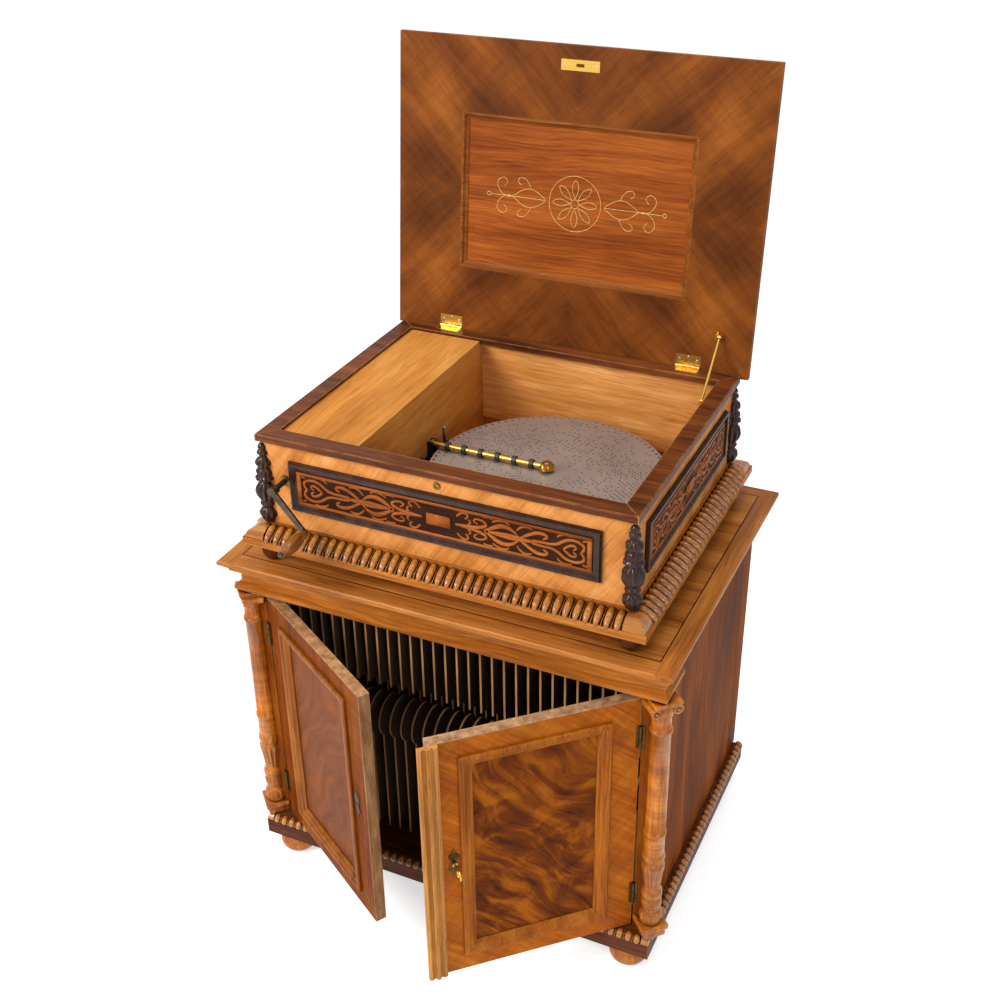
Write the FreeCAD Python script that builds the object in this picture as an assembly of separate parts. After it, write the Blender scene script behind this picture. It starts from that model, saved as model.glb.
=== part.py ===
"""A hand-wound disc music box on its matching disc cabinet, in millimetres.

X runs to the right seen from the front, Y to the back and Z up. The origin is on the floor under the
middle of the cabinet. The lid and both doors stand open, as they do at rest.
"""
import FreeCAD
import Part
import math
import os

from FreeCAD import Vector

# General clearances
SEAT_GAP = 0.3
RUNNING_GAP = 0.05
HINGE_GAP = 0.1
SWING_GAP = 1.0

# Cabinet: overall sizes
CABINET_HEIGHT = 746.0
TOP_WIDTH = 900.0
TOP_DEPTH = 672.0
TOP_THICK = 9.0
BODY_WIDTH = 818.0
BODY_BACK = 320.0
BOARD = 18.0
BACK_BOARD = 10.0
FLOOR_BOARD = 12.0

# Cabinet: feet and plinth
FOOT_HEIGHT = 50.0
FOOT_RADIUS = 39.0
FOOT_INSET = 50.0
FOOT_SETBACK = 39.0
PLINTH_WIDTH = 855.0
PLINTH_FRONT = 313.0
PLINTH_BACK = 324.0
PLINTH_BOARD_HEIGHT = 36.0
PLINTH_BOARD_THICK = 51.0
PLINTH_BEAD = 12.0
PLINTH_BEAD_PITCH = 17.5
PLINTH_CORNER = 15.0

# Cabinet: corner posts, columns and cornice
POST_WIDTH = 24.0
POST_DEPTH = 22.0
POST_FRONT = 284.0
COLUMN_OUT = 10.0
COLUMN_FORWARD = -2.0
SHAFT_RADIUS = 19.0
PLATE_HALF_DIAGONAL = 38.0
PLATE_THICK = 12.0
CAPITAL_HEIGHT = 46.0
VOLUTE_SHARE = 0.45
CORNICE_HEIGHT = 71.0
CORNICE_RETURN = 48.0

# Cabinet doors
DOOR_THICK = 22.0
DOOR_BOTTOM_GAP = 3.0
DOOR_TOP_GAP = 16.0
DOOR_MEETING_GAP = 12.0
RIGHT_DOOR_OVER = 1.0
LEFT_DOOR_OPEN = 32.0
RIGHT_DOOR_OPEN = 43.0
STILE_WIDTH = 60.0
RAIL_WIDTH = 46.0
DOOR_PANEL_THICK = 8.0
DOOR_PANEL_SINK = 6.0
DOOR_MOULDING = 26.0
DOOR_MOULDING_LAP = 8.0
ASTRAGAL_WIDTH = 36.0
ASTRAGAL_THICK = 11.0
ASTRAGAL_LAP = 18.0
DOOR_HINGE_HEIGHT = 51.0
DOOR_HINGE_INSET = 60.0
KNUCKLE_RADIUS = 3.0
HINGE_PIN_RADIUS = 1.5
LEAF_THICK = 1.5
LEAF_WIDTH = 4.0
ESCUTCHEON_HEIGHT = 66.0
ESCUTCHEON_WIDTH = 20.0
ESCUTCHEON_INSET = 39.0
KEY_RADIUS = 2.6
KEY_BOW_RADIUS = 9.0
BOLT_TRAVEL = 8.0
LOCK_HALF_WIDTH = 20.0
LOCK_DROP = 24.0
LOCK_RISE = 26.0
LOCK_SINK = 6.0
LOCK_SHELL = 1.5
BOLT_WAY = 60.0
BOLT_BEHIND_FACE = 8.5
BOLT_THICK = 6.0
BOLT_LOW = 10.0
BOLT_TALL = 8.0
BOLT_PAST_KEY = 14.0

# Disc dividers
DIVIDER_COUNT = 31
DIVIDER_THICK = 4.0
DIVIDER_FRONT = 236.0
DIVIDER_RECESS = 70.0
RECESS_BOTTOM_SHARE = 0.42
RECESS_TOP_SHARE = 0.60

# Music box: base
BOX_FOOT_HEIGHT = 43.0
BOX_FOOT_RADIUS = 21.0
BASE_OVERHANG = 39.0
BASE_BAND = 15.0
GADROON_RISE = 20.0
GADROON_PITCH = 18.4
GADROON_STEP = 3.0
BASE_CORNER = 40.0
LOBE_BACK = 0.7
BASE_FILLET = 3.0
BASE_FILLET_LAP = 4.0
SOUND_BOARD = 12.0

# Music box: case
CASE_WALL = 14.0
MOTOR_ROOM = 182.0
PARTITION_GAP = 39.0
DISC_SIDE_GAP = 27.0
DISC_FRONT_GAP = 23.0
DISC_BACK_GAP = 54.0
WALL_HEIGHT = 169.0
RIM_THICK = 14.0
RIM_WIDTH = 34.0
RIM_LAP = 8.5
PARTITION_THICK = 6.0
COVER_THICK = 8.0
LEDGE = 14.0
CORNER_RADIUS = 22.0
PANEL_FROM_CORNER = 55.0
SIDE_PANEL_INSET = 52.5
PANEL_HEIGHT = 100.0
PANEL_LIFT = 38.0
PANEL_FRAME_WIDTH = 16.0
PANEL_FRAME_THICK = 9.0
PANEL_THICK = 4.0

# Lid
LID_SIDE_LAP = 22.5
LID_FRONT_LAP = 23.0
LID_THICK = 20.0
LID_BACK_LAP = 8.0
LID_OPEN = 96.2
LID_GAP = 0.6
LID_PANEL_WIDTH = 481.0
LID_PANEL_DEPTH = 307.0
LID_PANEL_FROM_HINGE = 283.0
LID_PANEL_SINK = 9.0
LID_MOULDING = 12.0
LID_HINGE_WIDTH = 49.0
LID_LEAF_DEPTH = 20.0
LID_HINGE_INSET = 99.0
LID_KNUCKLE = 3.0
LID_PIN = 1.4
KEEPER_WIDTH = 77.0
KEEPER_DEPTH = 20.0
KEEPER_INSET = 26.0
STAY_INSET = 39.0
STAY_FROM_HINGE = 71.0
STAY_DROP = 9.0
STAY_LENGTH = 132.0
STAY_RADIUS = 2.4
STAY_ANGLE = 136.5
STAY_PIN = 2.0

# Crank
CRANK_INSET = 44.0
CRANK_Z = 922.0
CRANK_SHAFT = 5.0
CRANK_ARM_LENGTH = 94.4
CRANK_ARM_ANGLE = -49.7
CRANK_ARM_THICK = 4.0
CRANK_ARM_STANDOFF = 43.0
ROSETTE_RADIUS = 10.0
HANDLE_LENGTH = 74.0
HANDLE_RADIUS = 13.5
HANDLE_PIN = 3.0

# Spring motor in the left compartment
MOTOR_PLATE = 4.0
PLATE_FROM_FRONT = 84.0
PLATE_FROM_DISC = 46.0
BARREL_INSET = 94.0
BARREL_Z = 880.0
BARREL_RADIUS = 46.0
BARREL_ARBOR = 6.0
GEAR_WIDTH = 8.0
GEAR_MODULE = 3.0
WHEEL_TEETH = 32
PINION_TEETH = 8
WINDING_WHEEL_TEETH = 36
WINDING_PINION_TEETH = 8
TOOTH_FOOT = 0.35
TOOTH_TIP = 0.10
MITRE_RADIUS = 12.0
MITRE_TEETH = 12
ARBOR_RADIUS = 3.0
FAN_RADIUS = 22.0

# Disc, drive and playing work
DISC_Y = -18.0
DISC_Z = 895.0
DISC_RADIUS = 225.0
DISC_THICK = 1.0
HOLE_COUNT = 96
HOLE_HALF = 3.4
HOLE_MARGIN = 6.0
SPROCKET_TEETH = 12
SPINDLE_RADIUS = 5.0
BEDPLATE_THICK = 8.0
BEDPLATE_Z = 852.0
BEDPLATE_GAP = 6.0
BEDPLATE_REACH = 125.0
BEDPLATE_HALF = 98.0
BED_POST_RADIUS = 8.0
BAR_PAST_RIM = 15.0
BAR_RADIUS = 5.0
ROLLER_COUNT = 6
ROLLER_RADIUS = 8.7
ROLLER_WIDTH = 8.0
FIRST_ROLLER_IN = 19.0
LATCH_RADIUS = 11.0
STAR_COUNT = 14
STAR_RADIUS = 9.0
FIRST_STAR_IN = 30.0
COMB_TEETH = 14
LEVER_PAST_RIM = 14.0
LEVER_Y = 32.0
LEVER_RADIUS = 3.6
LEVER_HEIGHT = 58.0

# Heights that follow
PLINTH_TOP = FOOT_HEIGHT + PLINTH_BOARD_HEIGHT
TOP_UNDER = CABINET_HEIGHT - TOP_THICK
CORNICE_BOTTOM = TOP_UNDER - CORNICE_HEIGHT
CARCASS_Z = PLINTH_TOP + PLINTH_BEAD
DOOR_BOTTOM = CARCASS_Z + DOOR_BOTTOM_GAP
DOOR_TOP = CORNICE_BOTTOM - DOOR_TOP_GAP
BASE_Z = CABINET_HEIGHT + BOX_FOOT_HEIGHT
BAND_TOP = BASE_Z + BASE_BAND
GADROON_TOP = BAND_TOP + GADROON_RISE
WALL_Z = GADROON_TOP + BASE_FILLET
RIM_Z = WALL_Z + WALL_HEIGHT
RIM_TOP = RIM_Z + RIM_THICK
CASE_FLOOR = BASE_Z + SOUND_BOARD

# Places that follow
HALF_BODY = BODY_WIDTH / 2
POST_INNER = HALF_BODY - POST_WIDTH
POST_BACK = POST_FRONT - POST_DEPTH
COLUMN_X = HALF_BODY + COLUMN_OUT
COLUMN_Y = -POST_FRONT - COLUMN_FORWARD
CASE_WIDTH = MOTOR_ROOM + PARTITION_GAP + 2 * DISC_RADIUS + DISC_SIDE_GAP + CASE_WALL
CASE_FRONT = DISC_RADIUS - DISC_Y + DISC_FRONT_GAP + CASE_WALL
CASE_BACK = DISC_RADIUS + DISC_Y + DISC_BACK_GAP + CASE_WALL
HALF_CASE = CASE_WIDTH / 2
BASE_WIDTH = CASE_WIDTH + 2 * BASE_OVERHANG
BASE_DEPTH = 2 * (CASE_FRONT + BASE_OVERHANG)
PARTITION_X = MOTOR_ROOM - HALF_CASE
PANEL_HALF_WIDTH = HALF_CASE - PANEL_FROM_CORNER
SIDE_PANEL_HALF = (CASE_FRONT + CASE_BACK) / 2 - SIDE_PANEL_INSET
LID_WIDTH = CASE_WIDTH + 2 * LID_SIDE_LAP
LID_DEPTH = CASE_FRONT + CASE_BACK + LID_BACK_LAP + LID_FRONT_LAP
LID_HINGE_X = HALF_CASE - LID_HINGE_INSET
STAY_X = HALF_CASE - STAY_INSET
CRANK_X = CRANK_INSET - HALF_CASE
BARREL_X = BARREL_INSET - HALF_CASE
PLATE_FRONT_Y = PLATE_FROM_FRONT - CASE_FRONT
PLATE_REAR_Y = DISC_Y - PLATE_FROM_DISC
DISC_X = PARTITION_X + PARTITION_GAP + DISC_RADIUS
HOLE_CIRCLE = DISC_RADIUS - HOLE_MARGIN
BEDPLATE_LEFT = PARTITION_X + BEDPLATE_GAP
BEDPLATE_RIGHT = DISC_X + BEDPLATE_REACH
BEDPLATE_FRONT = DISC_Y - BEDPLATE_HALF
BEDPLATE_BACK = DISC_Y + BEDPLATE_HALF
BAR_PIVOT_X = DISC_X - DISC_RADIUS - BAR_PAST_RIM
ROLLER_FIRST_X = DISC_X - DISC_RADIUS + FIRST_ROLLER_IN
ROLLER_PITCH = DISC_RADIUS * 7 / 45
STAR_PITCH = DISC_RADIUS / 18
STAR_FIRST_X = DISC_X - DISC_RADIUS + FIRST_STAR_IN
LEVER_X = DISC_X - DISC_RADIUS - LEVER_PAST_RIM
RIM_HALF = HALF_CASE + RIM_LAP
RIM_FRONT = CASE_FRONT + RIM_LAP
RIM_BACK = CASE_BACK + RIM_LAP
HINGE_Y = RIM_BACK + LID_KNUCKLE + 0.5
HINGE_Z = RIM_TOP + LID_GAP / 2
DOOR_HINGE_X = POST_INNER - SWING_GAP
DOOR_HINGE_Y = -POST_FRONT - KNUCKLE_RADIUS
COVER_TOP = RIM_Z + COVER_THICK
SPROCKET_PITCH = HOLE_CIRCLE * SPROCKET_TEETH / HOLE_COUNT
SPROCKET_X = DISC_X - HOLE_CIRCLE
SPROCKET_Z = DISC_Z - SPROCKET_PITCH
BEDPLATE_TOP = BEDPLATE_Z + BEDPLATE_THICK
DISC_TOP = DISC_Z + DISC_THICK / 2
DISC_UNDER = DISC_Z - DISC_THICK / 2
BAR_Z = DISC_TOP + SEAT_GAP + ROLLER_RADIUS


def box(x0, y0, z0, x1, y1, z1):
    """A block between two opposite corners."""
    return Part.makeBox(x1 - x0, y1 - y0, z1 - z0, Vector(x0, y0, z0))


def mirrored_x(shape):
    """The same shape on the other side of the middle."""
    return shape.mirror(Vector(0, 0, 0), Vector(1, 0, 0))


def rod(start, end, radius):
    """A round bar between two points."""
    way = Vector(*end).sub(Vector(*start))
    return Part.makeCylinder(radius, way.Length, Vector(*start), way)


def block_of(sections):
    """A closed solid whose flat sides join matching sections, in order."""
    faces = []
    for first, second in zip(sections, sections[1:]):
        for i in range(len(first)):
            j = (i + 1) % len(first)
            corners = [first[i], first[j], second[j], second[i], first[i]]
            faces.append(Part.Face(Part.makePolygon(corners)))
    for end in (sections[0], sections[-1]):
        faces.append(Part.Face(Part.makePolygon(end + [end[0]])))
    solid = Part.Solid(Part.Shell(faces))
    if solid.Volume < 0:
        solid.reverse()
    return solid


def mitred_rails(place, low, high, profile):
    """Rails round a rectangle, cut at 45 degrees where they meet.

    place(u, v, t) turns panel coordinates into a point. Each profile point is an outward offset from the
    rectangle and a height off the panel.
    """
    def section(u, v, out_u, out_v):
        return [place(u + out_u * out, v + out_v * out, t) for out, t in profile]

    corners = [
        section(low[0], low[1], -1, -1),
        section(high[0], low[1], 1, -1),
        section(high[0], high[1], 1, 1),
        section(low[0], high[1], -1, 1),
    ]
    return [block_of([corners[i], corners[(i + 1) % 4]]) for i in range(4)]


def flat(u, v, t):
    """Panel coordinates of a level frame."""
    return Vector(u, v, t)


def turned(axis_x, axis_y, outline):
    """A turned piece about an upright axis, from (radius, height) points; a middle radius marks a bead."""
    edges = []
    here = Vector(0, 0, outline[0][1])
    first = here
    for step in outline:
        there = Vector(step[0], 0, step[1])
        if len(step) == 3:
            middle = Vector(step[2], 0, (here.z + there.z) / 2)
            edges.append(Part.Arc(here, middle, there).toShape())
        elif (there - here).Length > 0:
            edges.append(Part.makeLine(here, there))
        here = there
    last = Vector(0, 0, here.z)
    if (last - here).Length > 0:
        edges.append(Part.makeLine(here, last))
    edges.append(Part.makeLine(last, first))
    face = Part.Face(Part.Wire(edges))
    solid = face.revolve(Vector(0, 0, 0), Vector(0, 0, 1), 360)
    solid.translate(Vector(axis_x, axis_y, 0))
    return solid


def tooth_ring(teeth, module, phase):
    """Angles and radii of a gear's outline, with a tooth centred on the phase angle in degrees."""
    pitch = 2 * math.pi / teeth
    tip = module * (teeth / 2 + 0.75)
    root = module * (teeth / 2 - 1.15)
    points = []
    for i in range(teeth):
        middle = math.radians(phase) + i * pitch
        for turn, radius in ((-TOOTH_FOOT, root), (-TOOTH_TIP, tip), (TOOTH_TIP, tip), (TOOTH_FOOT, root)):
            points.append((middle + turn * pitch, radius))
    return points


def plate_across_y(points, y0, y1):
    """A flat plate between two depths, from (x, z) points."""
    corners = [Vector(x, y0, z) for x, z in points]
    face = Part.Face(Part.makePolygon(corners + [corners[0]]))
    return face.extrude(Vector(0, y1 - y0, 0))


def plate_across_x(points, x0, x1):
    """A flat plate between two X values, from (y, z) points."""
    corners = [Vector(x0, y, z) for y, z in points]
    face = Part.Face(Part.makePolygon(corners + [corners[0]]))
    return face.extrude(Vector(x1 - x0, 0, 0))


def gear_on_y(centre, y0, y1, teeth, module, phase):
    """A gear whose arbor runs front to back; centre is (x, z)."""
    ring = tooth_ring(teeth, module, phase)
    points = [(centre[0] + r * math.cos(a), centre[1] + r * math.sin(a)) for a, r in ring]
    return plate_across_y(points, y0, y1)


def turn_about_x(shape, degrees):
    """The lid's swing about its hinge line."""
    copy = shape.copy()
    copy.rotate(Vector(0, HINGE_Y, HINGE_Z), Vector(1, 0, 0), degrees)
    return copy


# Cabinet: stand

def foot(x, y, bottom, radius, height):
    """One bun foot."""
    outline = [
        (0.45 * radius, bottom),
        (0.80 * radius, bottom + 0.86 * height, 1.0 * radius),
        (0.58 * radius, bottom + 0.90 * height),
        (0.58 * radius, bottom + height),
    ]
    return turned(x, y, outline)


def cabinet_feet():
    """Four bun feet under the plinth."""
    x = PLINTH_WIDTH / 2 - FOOT_INSET
    front = -PLINTH_FRONT + FOOT_SETBACK
    back = PLINTH_BACK - FOOT_SETBACK
    places = [(-x, front), (x, front), (x, back), (-x, back)]
    return [foot(px, py, 0, FOOT_RADIUS, FOOT_HEIGHT) for px, py in places]


def plinth_frame():
    """The plinth, mitred round the cabinet, with the bed for the beads above its plain board."""
    bed = [(-back - SEAT_GAP, PLINTH_TOP + up) for back, up in quarter_back(PLINTH_BEAD, PLINTH_BEAD)]
    profile = [
        (0, FOOT_HEIGHT),
        (0, PLINTH_TOP),
        *bed,
        (bed[-1][0], CARCASS_Z),
        (-PLINTH_BOARD_THICK, CARCASS_Z),
        (-PLINTH_BOARD_THICK, FOOT_HEIGHT),
    ]
    half = PLINTH_WIDTH / 2
    return mitred_rails(flat, (-half, -PLINTH_FRONT), (half, PLINTH_BACK), profile)


def crest(depth, rise, share, turn):
    """A point of the quarter round: how far back and how far up, at a share of its full size."""
    angle = math.radians(turn)
    return depth * (1 - share * math.cos(angle)), rise * share * math.sin(angle)


def quarter_back(depth, rise):
    """The stepped back of the quarter round, which its bed follows."""
    return [crest(depth, rise, LOBE_BACK, turn) for turn in (0, 45, 90)]


def lobe(place, start, length, out, bottom, rise, depth):
    """One gadroon lobe: a rounded rib that climbs a quarter round, swelling in the middle.

    place(along, out, z) turns moulding coordinates into a point.
    """
    stations = ((0, 0.72), (45, 0.96), (90, 0.60))
    across = ((-1.0, 0.0), (-0.55, 0.8), (0.0, 1.0), (0.55, 0.8), (1.0, 0.0))
    middle = start + length / 2
    sections = []
    for turn, width in stations:
        section = []
        for side, proud in across:
            back, up = crest(depth, rise, LOBE_BACK + (1 - LOBE_BACK) * proud, turn)
            section.append(place(middle + side * 0.5 * length * width, out - back, bottom + up))
        sections.append(section)
    return ruled_lobe(sections)


def corner_block(half_x, half_y, side, end, length, bottom, rise, depth):
    """A plain mitred block of the quarter round at one corner."""
    outline = [crest(depth, rise, 1.0, turn) for turn in (0, 30, 60, 90)]
    outline += reversed(quarter_back(depth, rise))
    sections = [
        [Vector(side * (half_x - length), end * (half_y - back), bottom + up) for back, up in outline],
        [Vector(side * (half_x - back), end * (half_y - back), bottom + up) for back, up in outline],
        [Vector(side * (half_x - back), end * (half_y - length), bottom + up) for back, up in outline],
    ]
    return block_of(sections)


def ruled_lobe(sections):
    """Close the lobe's sections with triangles, so that every facet is flat."""
    faces = []
    for first, second in zip(sections, sections[1:]):
        for i in range(len(first)):
            j = (i + 1) % len(first)
            faces.append(Part.Face(Part.makePolygon([first[i], first[j], second[j], first[i]])))
            faces.append(Part.Face(Part.makePolygon([first[i], second[j], second[i], first[i]])))
    for end in (sections[0], sections[-1]):
        for i in range(1, len(end) - 1):
            faces.append(Part.Face(Part.makePolygon([end[0], end[i], end[i + 1], end[0]])))
    solid = Part.Solid(Part.Shell(faces))
    if solid.Volume < 0:
        solid.reverse()
    return solid


def lobe_row(place, start, end, pitch, out, bottom, rise, depth):
    """A row of lobes that fills a moulding between two corner blocks."""
    count = max(1, round((end - start) / pitch))
    step = (end - start) / count
    return [lobe(place, start + i * step, step, out, bottom, rise, depth) for i in range(count)]


def front_run(along, out, z):
    """A moulding across the front."""
    return Vector(along, -out, z)


def right_run(along, out, z):
    """A moulding along the right side."""
    return Vector(out, along, z)


def left_run(along, out, z):
    """A moulding along the left side."""
    return Vector(-out, along, z)


def plinth_beads():
    """The gadroon beads that stand on the plinth's front and sides."""
    half = PLINTH_WIDTH / 2
    corner = PLINTH_CORNER
    args = (PLINTH_TOP, PLINTH_BEAD, PLINTH_BEAD)
    front = lobe_row(front_run, -half + corner, half - corner, PLINTH_BEAD_PITCH, PLINTH_FRONT, *args)
    first = -PLINTH_FRONT + corner
    right = lobe_row(right_run, first, PLINTH_BACK, PLINTH_BEAD_PITCH, half, *args)
    left = lobe_row(left_run, first, PLINTH_BACK, PLINTH_BEAD_PITCH, half, *args)
    return front + right + left


# Cabinet: carcass

def cabinet_sides():
    """The two side boards, from the plinth to the top."""
    side = box(HALF_BODY - BOARD, -POST_BACK, CARCASS_Z, HALF_BODY, BODY_BACK, TOP_UNDER)
    return [side, mirrored_x(side)]


def cabinet_back():
    """The back board, between the sides."""
    edge = HALF_BODY - BOARD
    return [box(-edge, BODY_BACK - BACK_BOARD, CARCASS_Z, edge, BODY_BACK, TOP_UNDER)]


def cabinet_shelves():
    """The floor and the ceiling that hold the dividers."""
    edge = HALF_BODY - BOARD
    inner_back = BODY_BACK - BACK_BOARD
    reach = PLINTH_WIDTH / 2 - PLINTH_BOARD_THICK - SEAT_GAP
    front = -PLINTH_FRONT + PLINTH_BOARD_THICK + SEAT_GAP
    back = PLINTH_BACK - PLINTH_BOARD_THICK - SEAT_GAP
    floor = box(-reach, front, CARCASS_Z - FLOOR_BOARD, reach, back, CARCASS_Z)
    ceiling_top = CORNICE_BOTTOM + 2 * BOARD
    ceiling = box(-edge, -POST_BACK, ceiling_top - BOARD, edge, inner_back, ceiling_top)
    return [floor, ceiling]


def divider(x):
    """One thin board with a curved finger recess in its front edge."""
    bottom = CARCASS_Z
    top = CORNICE_BOTTOM + BOARD
    height = top - bottom
    front = -DIVIDER_FRONT
    back = BODY_BACK - BACK_BOARD
    recess_low = bottom + RECESS_BOTTOM_SHARE * height
    recess_high = bottom + RECESS_TOP_SHARE * height
    deep = front + DIVIDER_RECESS
    shoulder = recess_low + 0.45 * (recess_high - recess_low)
    lower = Part.Arc(
        Vector(x, front, recess_low),
        Vector(x, front + 0.42 * DIVIDER_RECESS, recess_low + 0.13 * height),
        Vector(x, deep, shoulder),
    )
    turn_back = Vector(x, deep, recess_high)
    points = [
        Vector(x, deep, shoulder),
        turn_back,
        Vector(x, front, recess_high + 0.3 * DIVIDER_RECESS),
        Vector(x, front, top),
        Vector(x, back, top),
        Vector(x, back, bottom),
        Vector(x, front, bottom),
        Vector(x, front, recess_low),
    ]
    edges = [Part.makeLine(a, b) for a, b in zip(points, points[1:])]
    face = Part.Face(Part.Wire(edges + [lower.toShape()]))
    return face.extrude(Vector(DIVIDER_THICK, 0, 0))


def disc_dividers():
    """The upright dividers that keep the stored discs apart."""
    inner = HALF_BODY - BOARD
    step = 2 * inner / (DIVIDER_COUNT + 1)
    return [divider(-inner + (i + 1) * step - DIVIDER_THICK / 2) for i in range(DIVIDER_COUNT)]


def cabinet_top():
    """The thin moulded top board."""
    half_x = TOP_WIDTH / 2
    half_y = TOP_DEPTH / 2
    board = box(-half_x, -half_y, TOP_UNDER, half_x, half_y, CABINET_HEIGHT)
    front_edges = [e for e in board.Edges if e.BoundBox.ZMin > CABINET_HEIGHT - 0.1]
    return [board.makeChamfer(TOP_THICK / 4, front_edges)]


def cabinet_cornice():
    """The stepped cornice under the top board, across the front with short returns."""
    out = [
        (0.40, 1.00),
        (0.40, 0.86),
        (0.28, 0.78),
        (0.28, 0.70),
        (0.10, 0.62),
        (0.00, 0.56),
        (0.00, 0.26),
        (0.05, 0.24),
        (0.20, 0.18),
        (0.20, 0.08),
        (0.12, 0.00),
    ]
    spread = TOP_DEPTH / 2 - POST_BACK
    base = 0.45 * spread
    profile = [(base + o * spread, CORNICE_BOTTOM + t * CORNICE_HEIGHT) for o, t in out]
    profile += [(0, CORNICE_BOTTOM), (0, TOP_UNDER)]
    front = -POST_BACK
    low = (-HALF_BODY, front)
    high = (HALF_BODY, front + CORNICE_RETURN)
    across, right, _back, left = mitred_rails(cornice_point, low, high, profile)
    end = box(-TOP_WIDTH, front + CORNICE_RETURN, 0, TOP_WIDTH, TOP_DEPTH, CABINET_HEIGHT)
    return [across, right.cut(end), left.cut(end)]


def cornice_point(u, v, t):
    """The cornice spreads less at the sides than at the front."""
    side_share = (TOP_WIDTH / 2 - HALF_BODY) / (TOP_DEPTH / 2 - POST_BACK)
    if u > HALF_BODY:
        u = HALF_BODY + (u - HALF_BODY) * side_share
    if u < -HALF_BODY:
        u = -HALF_BODY + (u + HALF_BODY) * side_share
    return Vector(u, v, t)


def pedestal_top():
    """Height of the column's lower plate."""
    return CARCASS_Z + 2.5 * PLATE_THICK


def column_outline():
    """Radius and height of the turned shaft, vase and rings, from the plate up."""
    start = pedestal_top()
    neck = CORNICE_BOTTOM - CAPITAL_HEIGHT
    r = SHAFT_RADIUS
    return [
        (1.05 * r, start),
        (1.05 * r, start + 4),
        (1.00 * r, start + 4),
        (1.00 * r, start + 28, 1.21 * r),
        (0.84 * r, start + 30),
        (0.84 * r, start + 38),
        (0.90 * r, start + 40),
        (0.90 * r, start + 59, 1.03 * r),
        (0.84 * r, start + 62),
        (0.92 * r, start + 65),
        (0.92 * r, start + 82, 1.05 * r),
        (0.82 * r, start + 85),
        (1.18 * r, start + 144),
        (0.88 * r, start + 150),
        (0.95 * r, start + 155),
        (0.95 * r, start + 175, 1.16 * r),
        (r, start + 178),
        (r, start + 222),
        (1.10 * r, start + 223),
        (1.10 * r, start + 228),
        (r, start + 229),
        (0.97 * r, neck - 32),
        (1.10 * r, neck - 30),
        (1.10 * r, neck - 25),
        (0.96 * r, neck - 23),
        (0.92 * r, neck),
    ]


def plate_on_corner(x, y, half, bottom, top):
    """A square plate turned to face along the diagonal."""
    corners = [Vector(x + half, y, bottom), Vector(x, y + half, bottom)]
    corners += [Vector(x - half, y, bottom), Vector(x, y - half, bottom)]
    face = Part.Face(Part.makePolygon(corners + [corners[0]]))
    return face.extrude(Vector(0, 0, top - bottom))


def cabinet_column():
    """The right column: block, plate, turned shaft and a capital with rolled volutes."""
    x = COLUMN_X
    y = COLUMN_Y
    half = PLATE_HALF_DIAGONAL
    plate = pedestal_top() - PLATE_THICK
    neck = CORNICE_BOTTOM - CAPITAL_HEIGHT
    abacus = CORNICE_BOTTOM - PLATE_THICK
    bell = [(0.92 * SHAFT_RADIUS, neck), (1.2 * SHAFT_RADIUS, abacus - 8), (1.2 * SHAFT_RADIUS, abacus)]
    pieces = [
        plate_on_corner(x, y, 0.84 * half, CARCASS_Z, plate),
        plate_on_corner(x, y, half, plate, plate + PLATE_THICK),
        turned(x, y, column_outline()),
        turned(x, y, bell),
        plate_on_corner(x, y, half, abacus, CORNICE_BOTTOM),
    ]
    scroll = VOLUTE_SHARE * SHAFT_RADIUS
    out = Vector(1, -1, 0).normalize()
    along = Vector(1, 1, 0).normalize()
    for side in (-1, 1):
        start = Vector(x, y, abacus - scroll + 1).add(along * (side * 0.5 * half)).add(out * (0.58 * half))
        pieces.append(Part.makeCylinder(scroll, 1.16 * half, start, out * -1))
    whole = pieces[0].multiFuse(pieces[1:])
    body = box(-HALF_BODY, -POST_BACK, 0, HALF_BODY, BODY_BACK, CABINET_HEIGHT)
    post = box(0, -POST_FRONT, 0, HALF_BODY, -POST_BACK, CABINET_HEIGHT)
    doorway = box(0, -TOP_DEPTH, 0, POST_INNER, -POST_BACK, CABINET_HEIGHT)
    shaped = whole.cut(body.fuse(post)).cut(doorway)
    return max(shaped.Solids, key=lambda solid: solid.Volume)


def cabinet_columns():
    """Both front columns."""
    column = cabinet_column()
    return [column, mirrored_x(column)]


def corner_posts():
    """The two front stiles that the columns stand against and the doors hang on."""
    post = box(POST_INNER, -POST_FRONT, CARCASS_Z, HALF_BODY, -POST_BACK, CORNICE_BOTTOM)
    return [post, mirrored_x(post)]


# Cabinet: doors

def door_swing(side, shape):
    """Swing a closed door's piece out to its rest angle; side is -1 for left and 1 for right."""
    angle = -LEFT_DOOR_OPEN if side < 0 else RIGHT_DOOR_OPEN
    copy = shape.copy()
    copy.rotate(Vector(side * DOOR_HINGE_X, DOOR_HINGE_Y, 0), Vector(0, 0, 1), angle)
    return copy


def door_edges(side):
    """Low and high X of a closed door."""
    hang = DOOR_HINGE_X
    meet = RIGHT_DOOR_OVER
    if side > 0:
        return (-meet, hang)
    return (-hang, -meet - DOOR_MEETING_GAP + SWING_GAP)


def door_point(u, v, t):
    """Panel coordinates on a closed door's face."""
    return Vector(u, -POST_FRONT - t, v)


def door_frame(side):
    """Two stiles with two rails between them."""
    low, high = door_edges(side)
    front = -POST_FRONT
    back = front + DOOR_THICK
    left = box(low, front, DOOR_BOTTOM, low + STILE_WIDTH, back, DOOR_TOP)
    right = box(high - STILE_WIDTH, front, DOOR_BOTTOM, high, back, DOOR_TOP)
    inner = (low + STILE_WIDTH, high - STILE_WIDTH)
    bottom = box(inner[0], front, DOOR_BOTTOM, inner[1], back, DOOR_BOTTOM + RAIL_WIDTH)
    top = box(inner[0], front, DOOR_TOP - RAIL_WIDTH, inner[1], back, DOOR_TOP)
    return [left, right, bottom, top]


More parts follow.
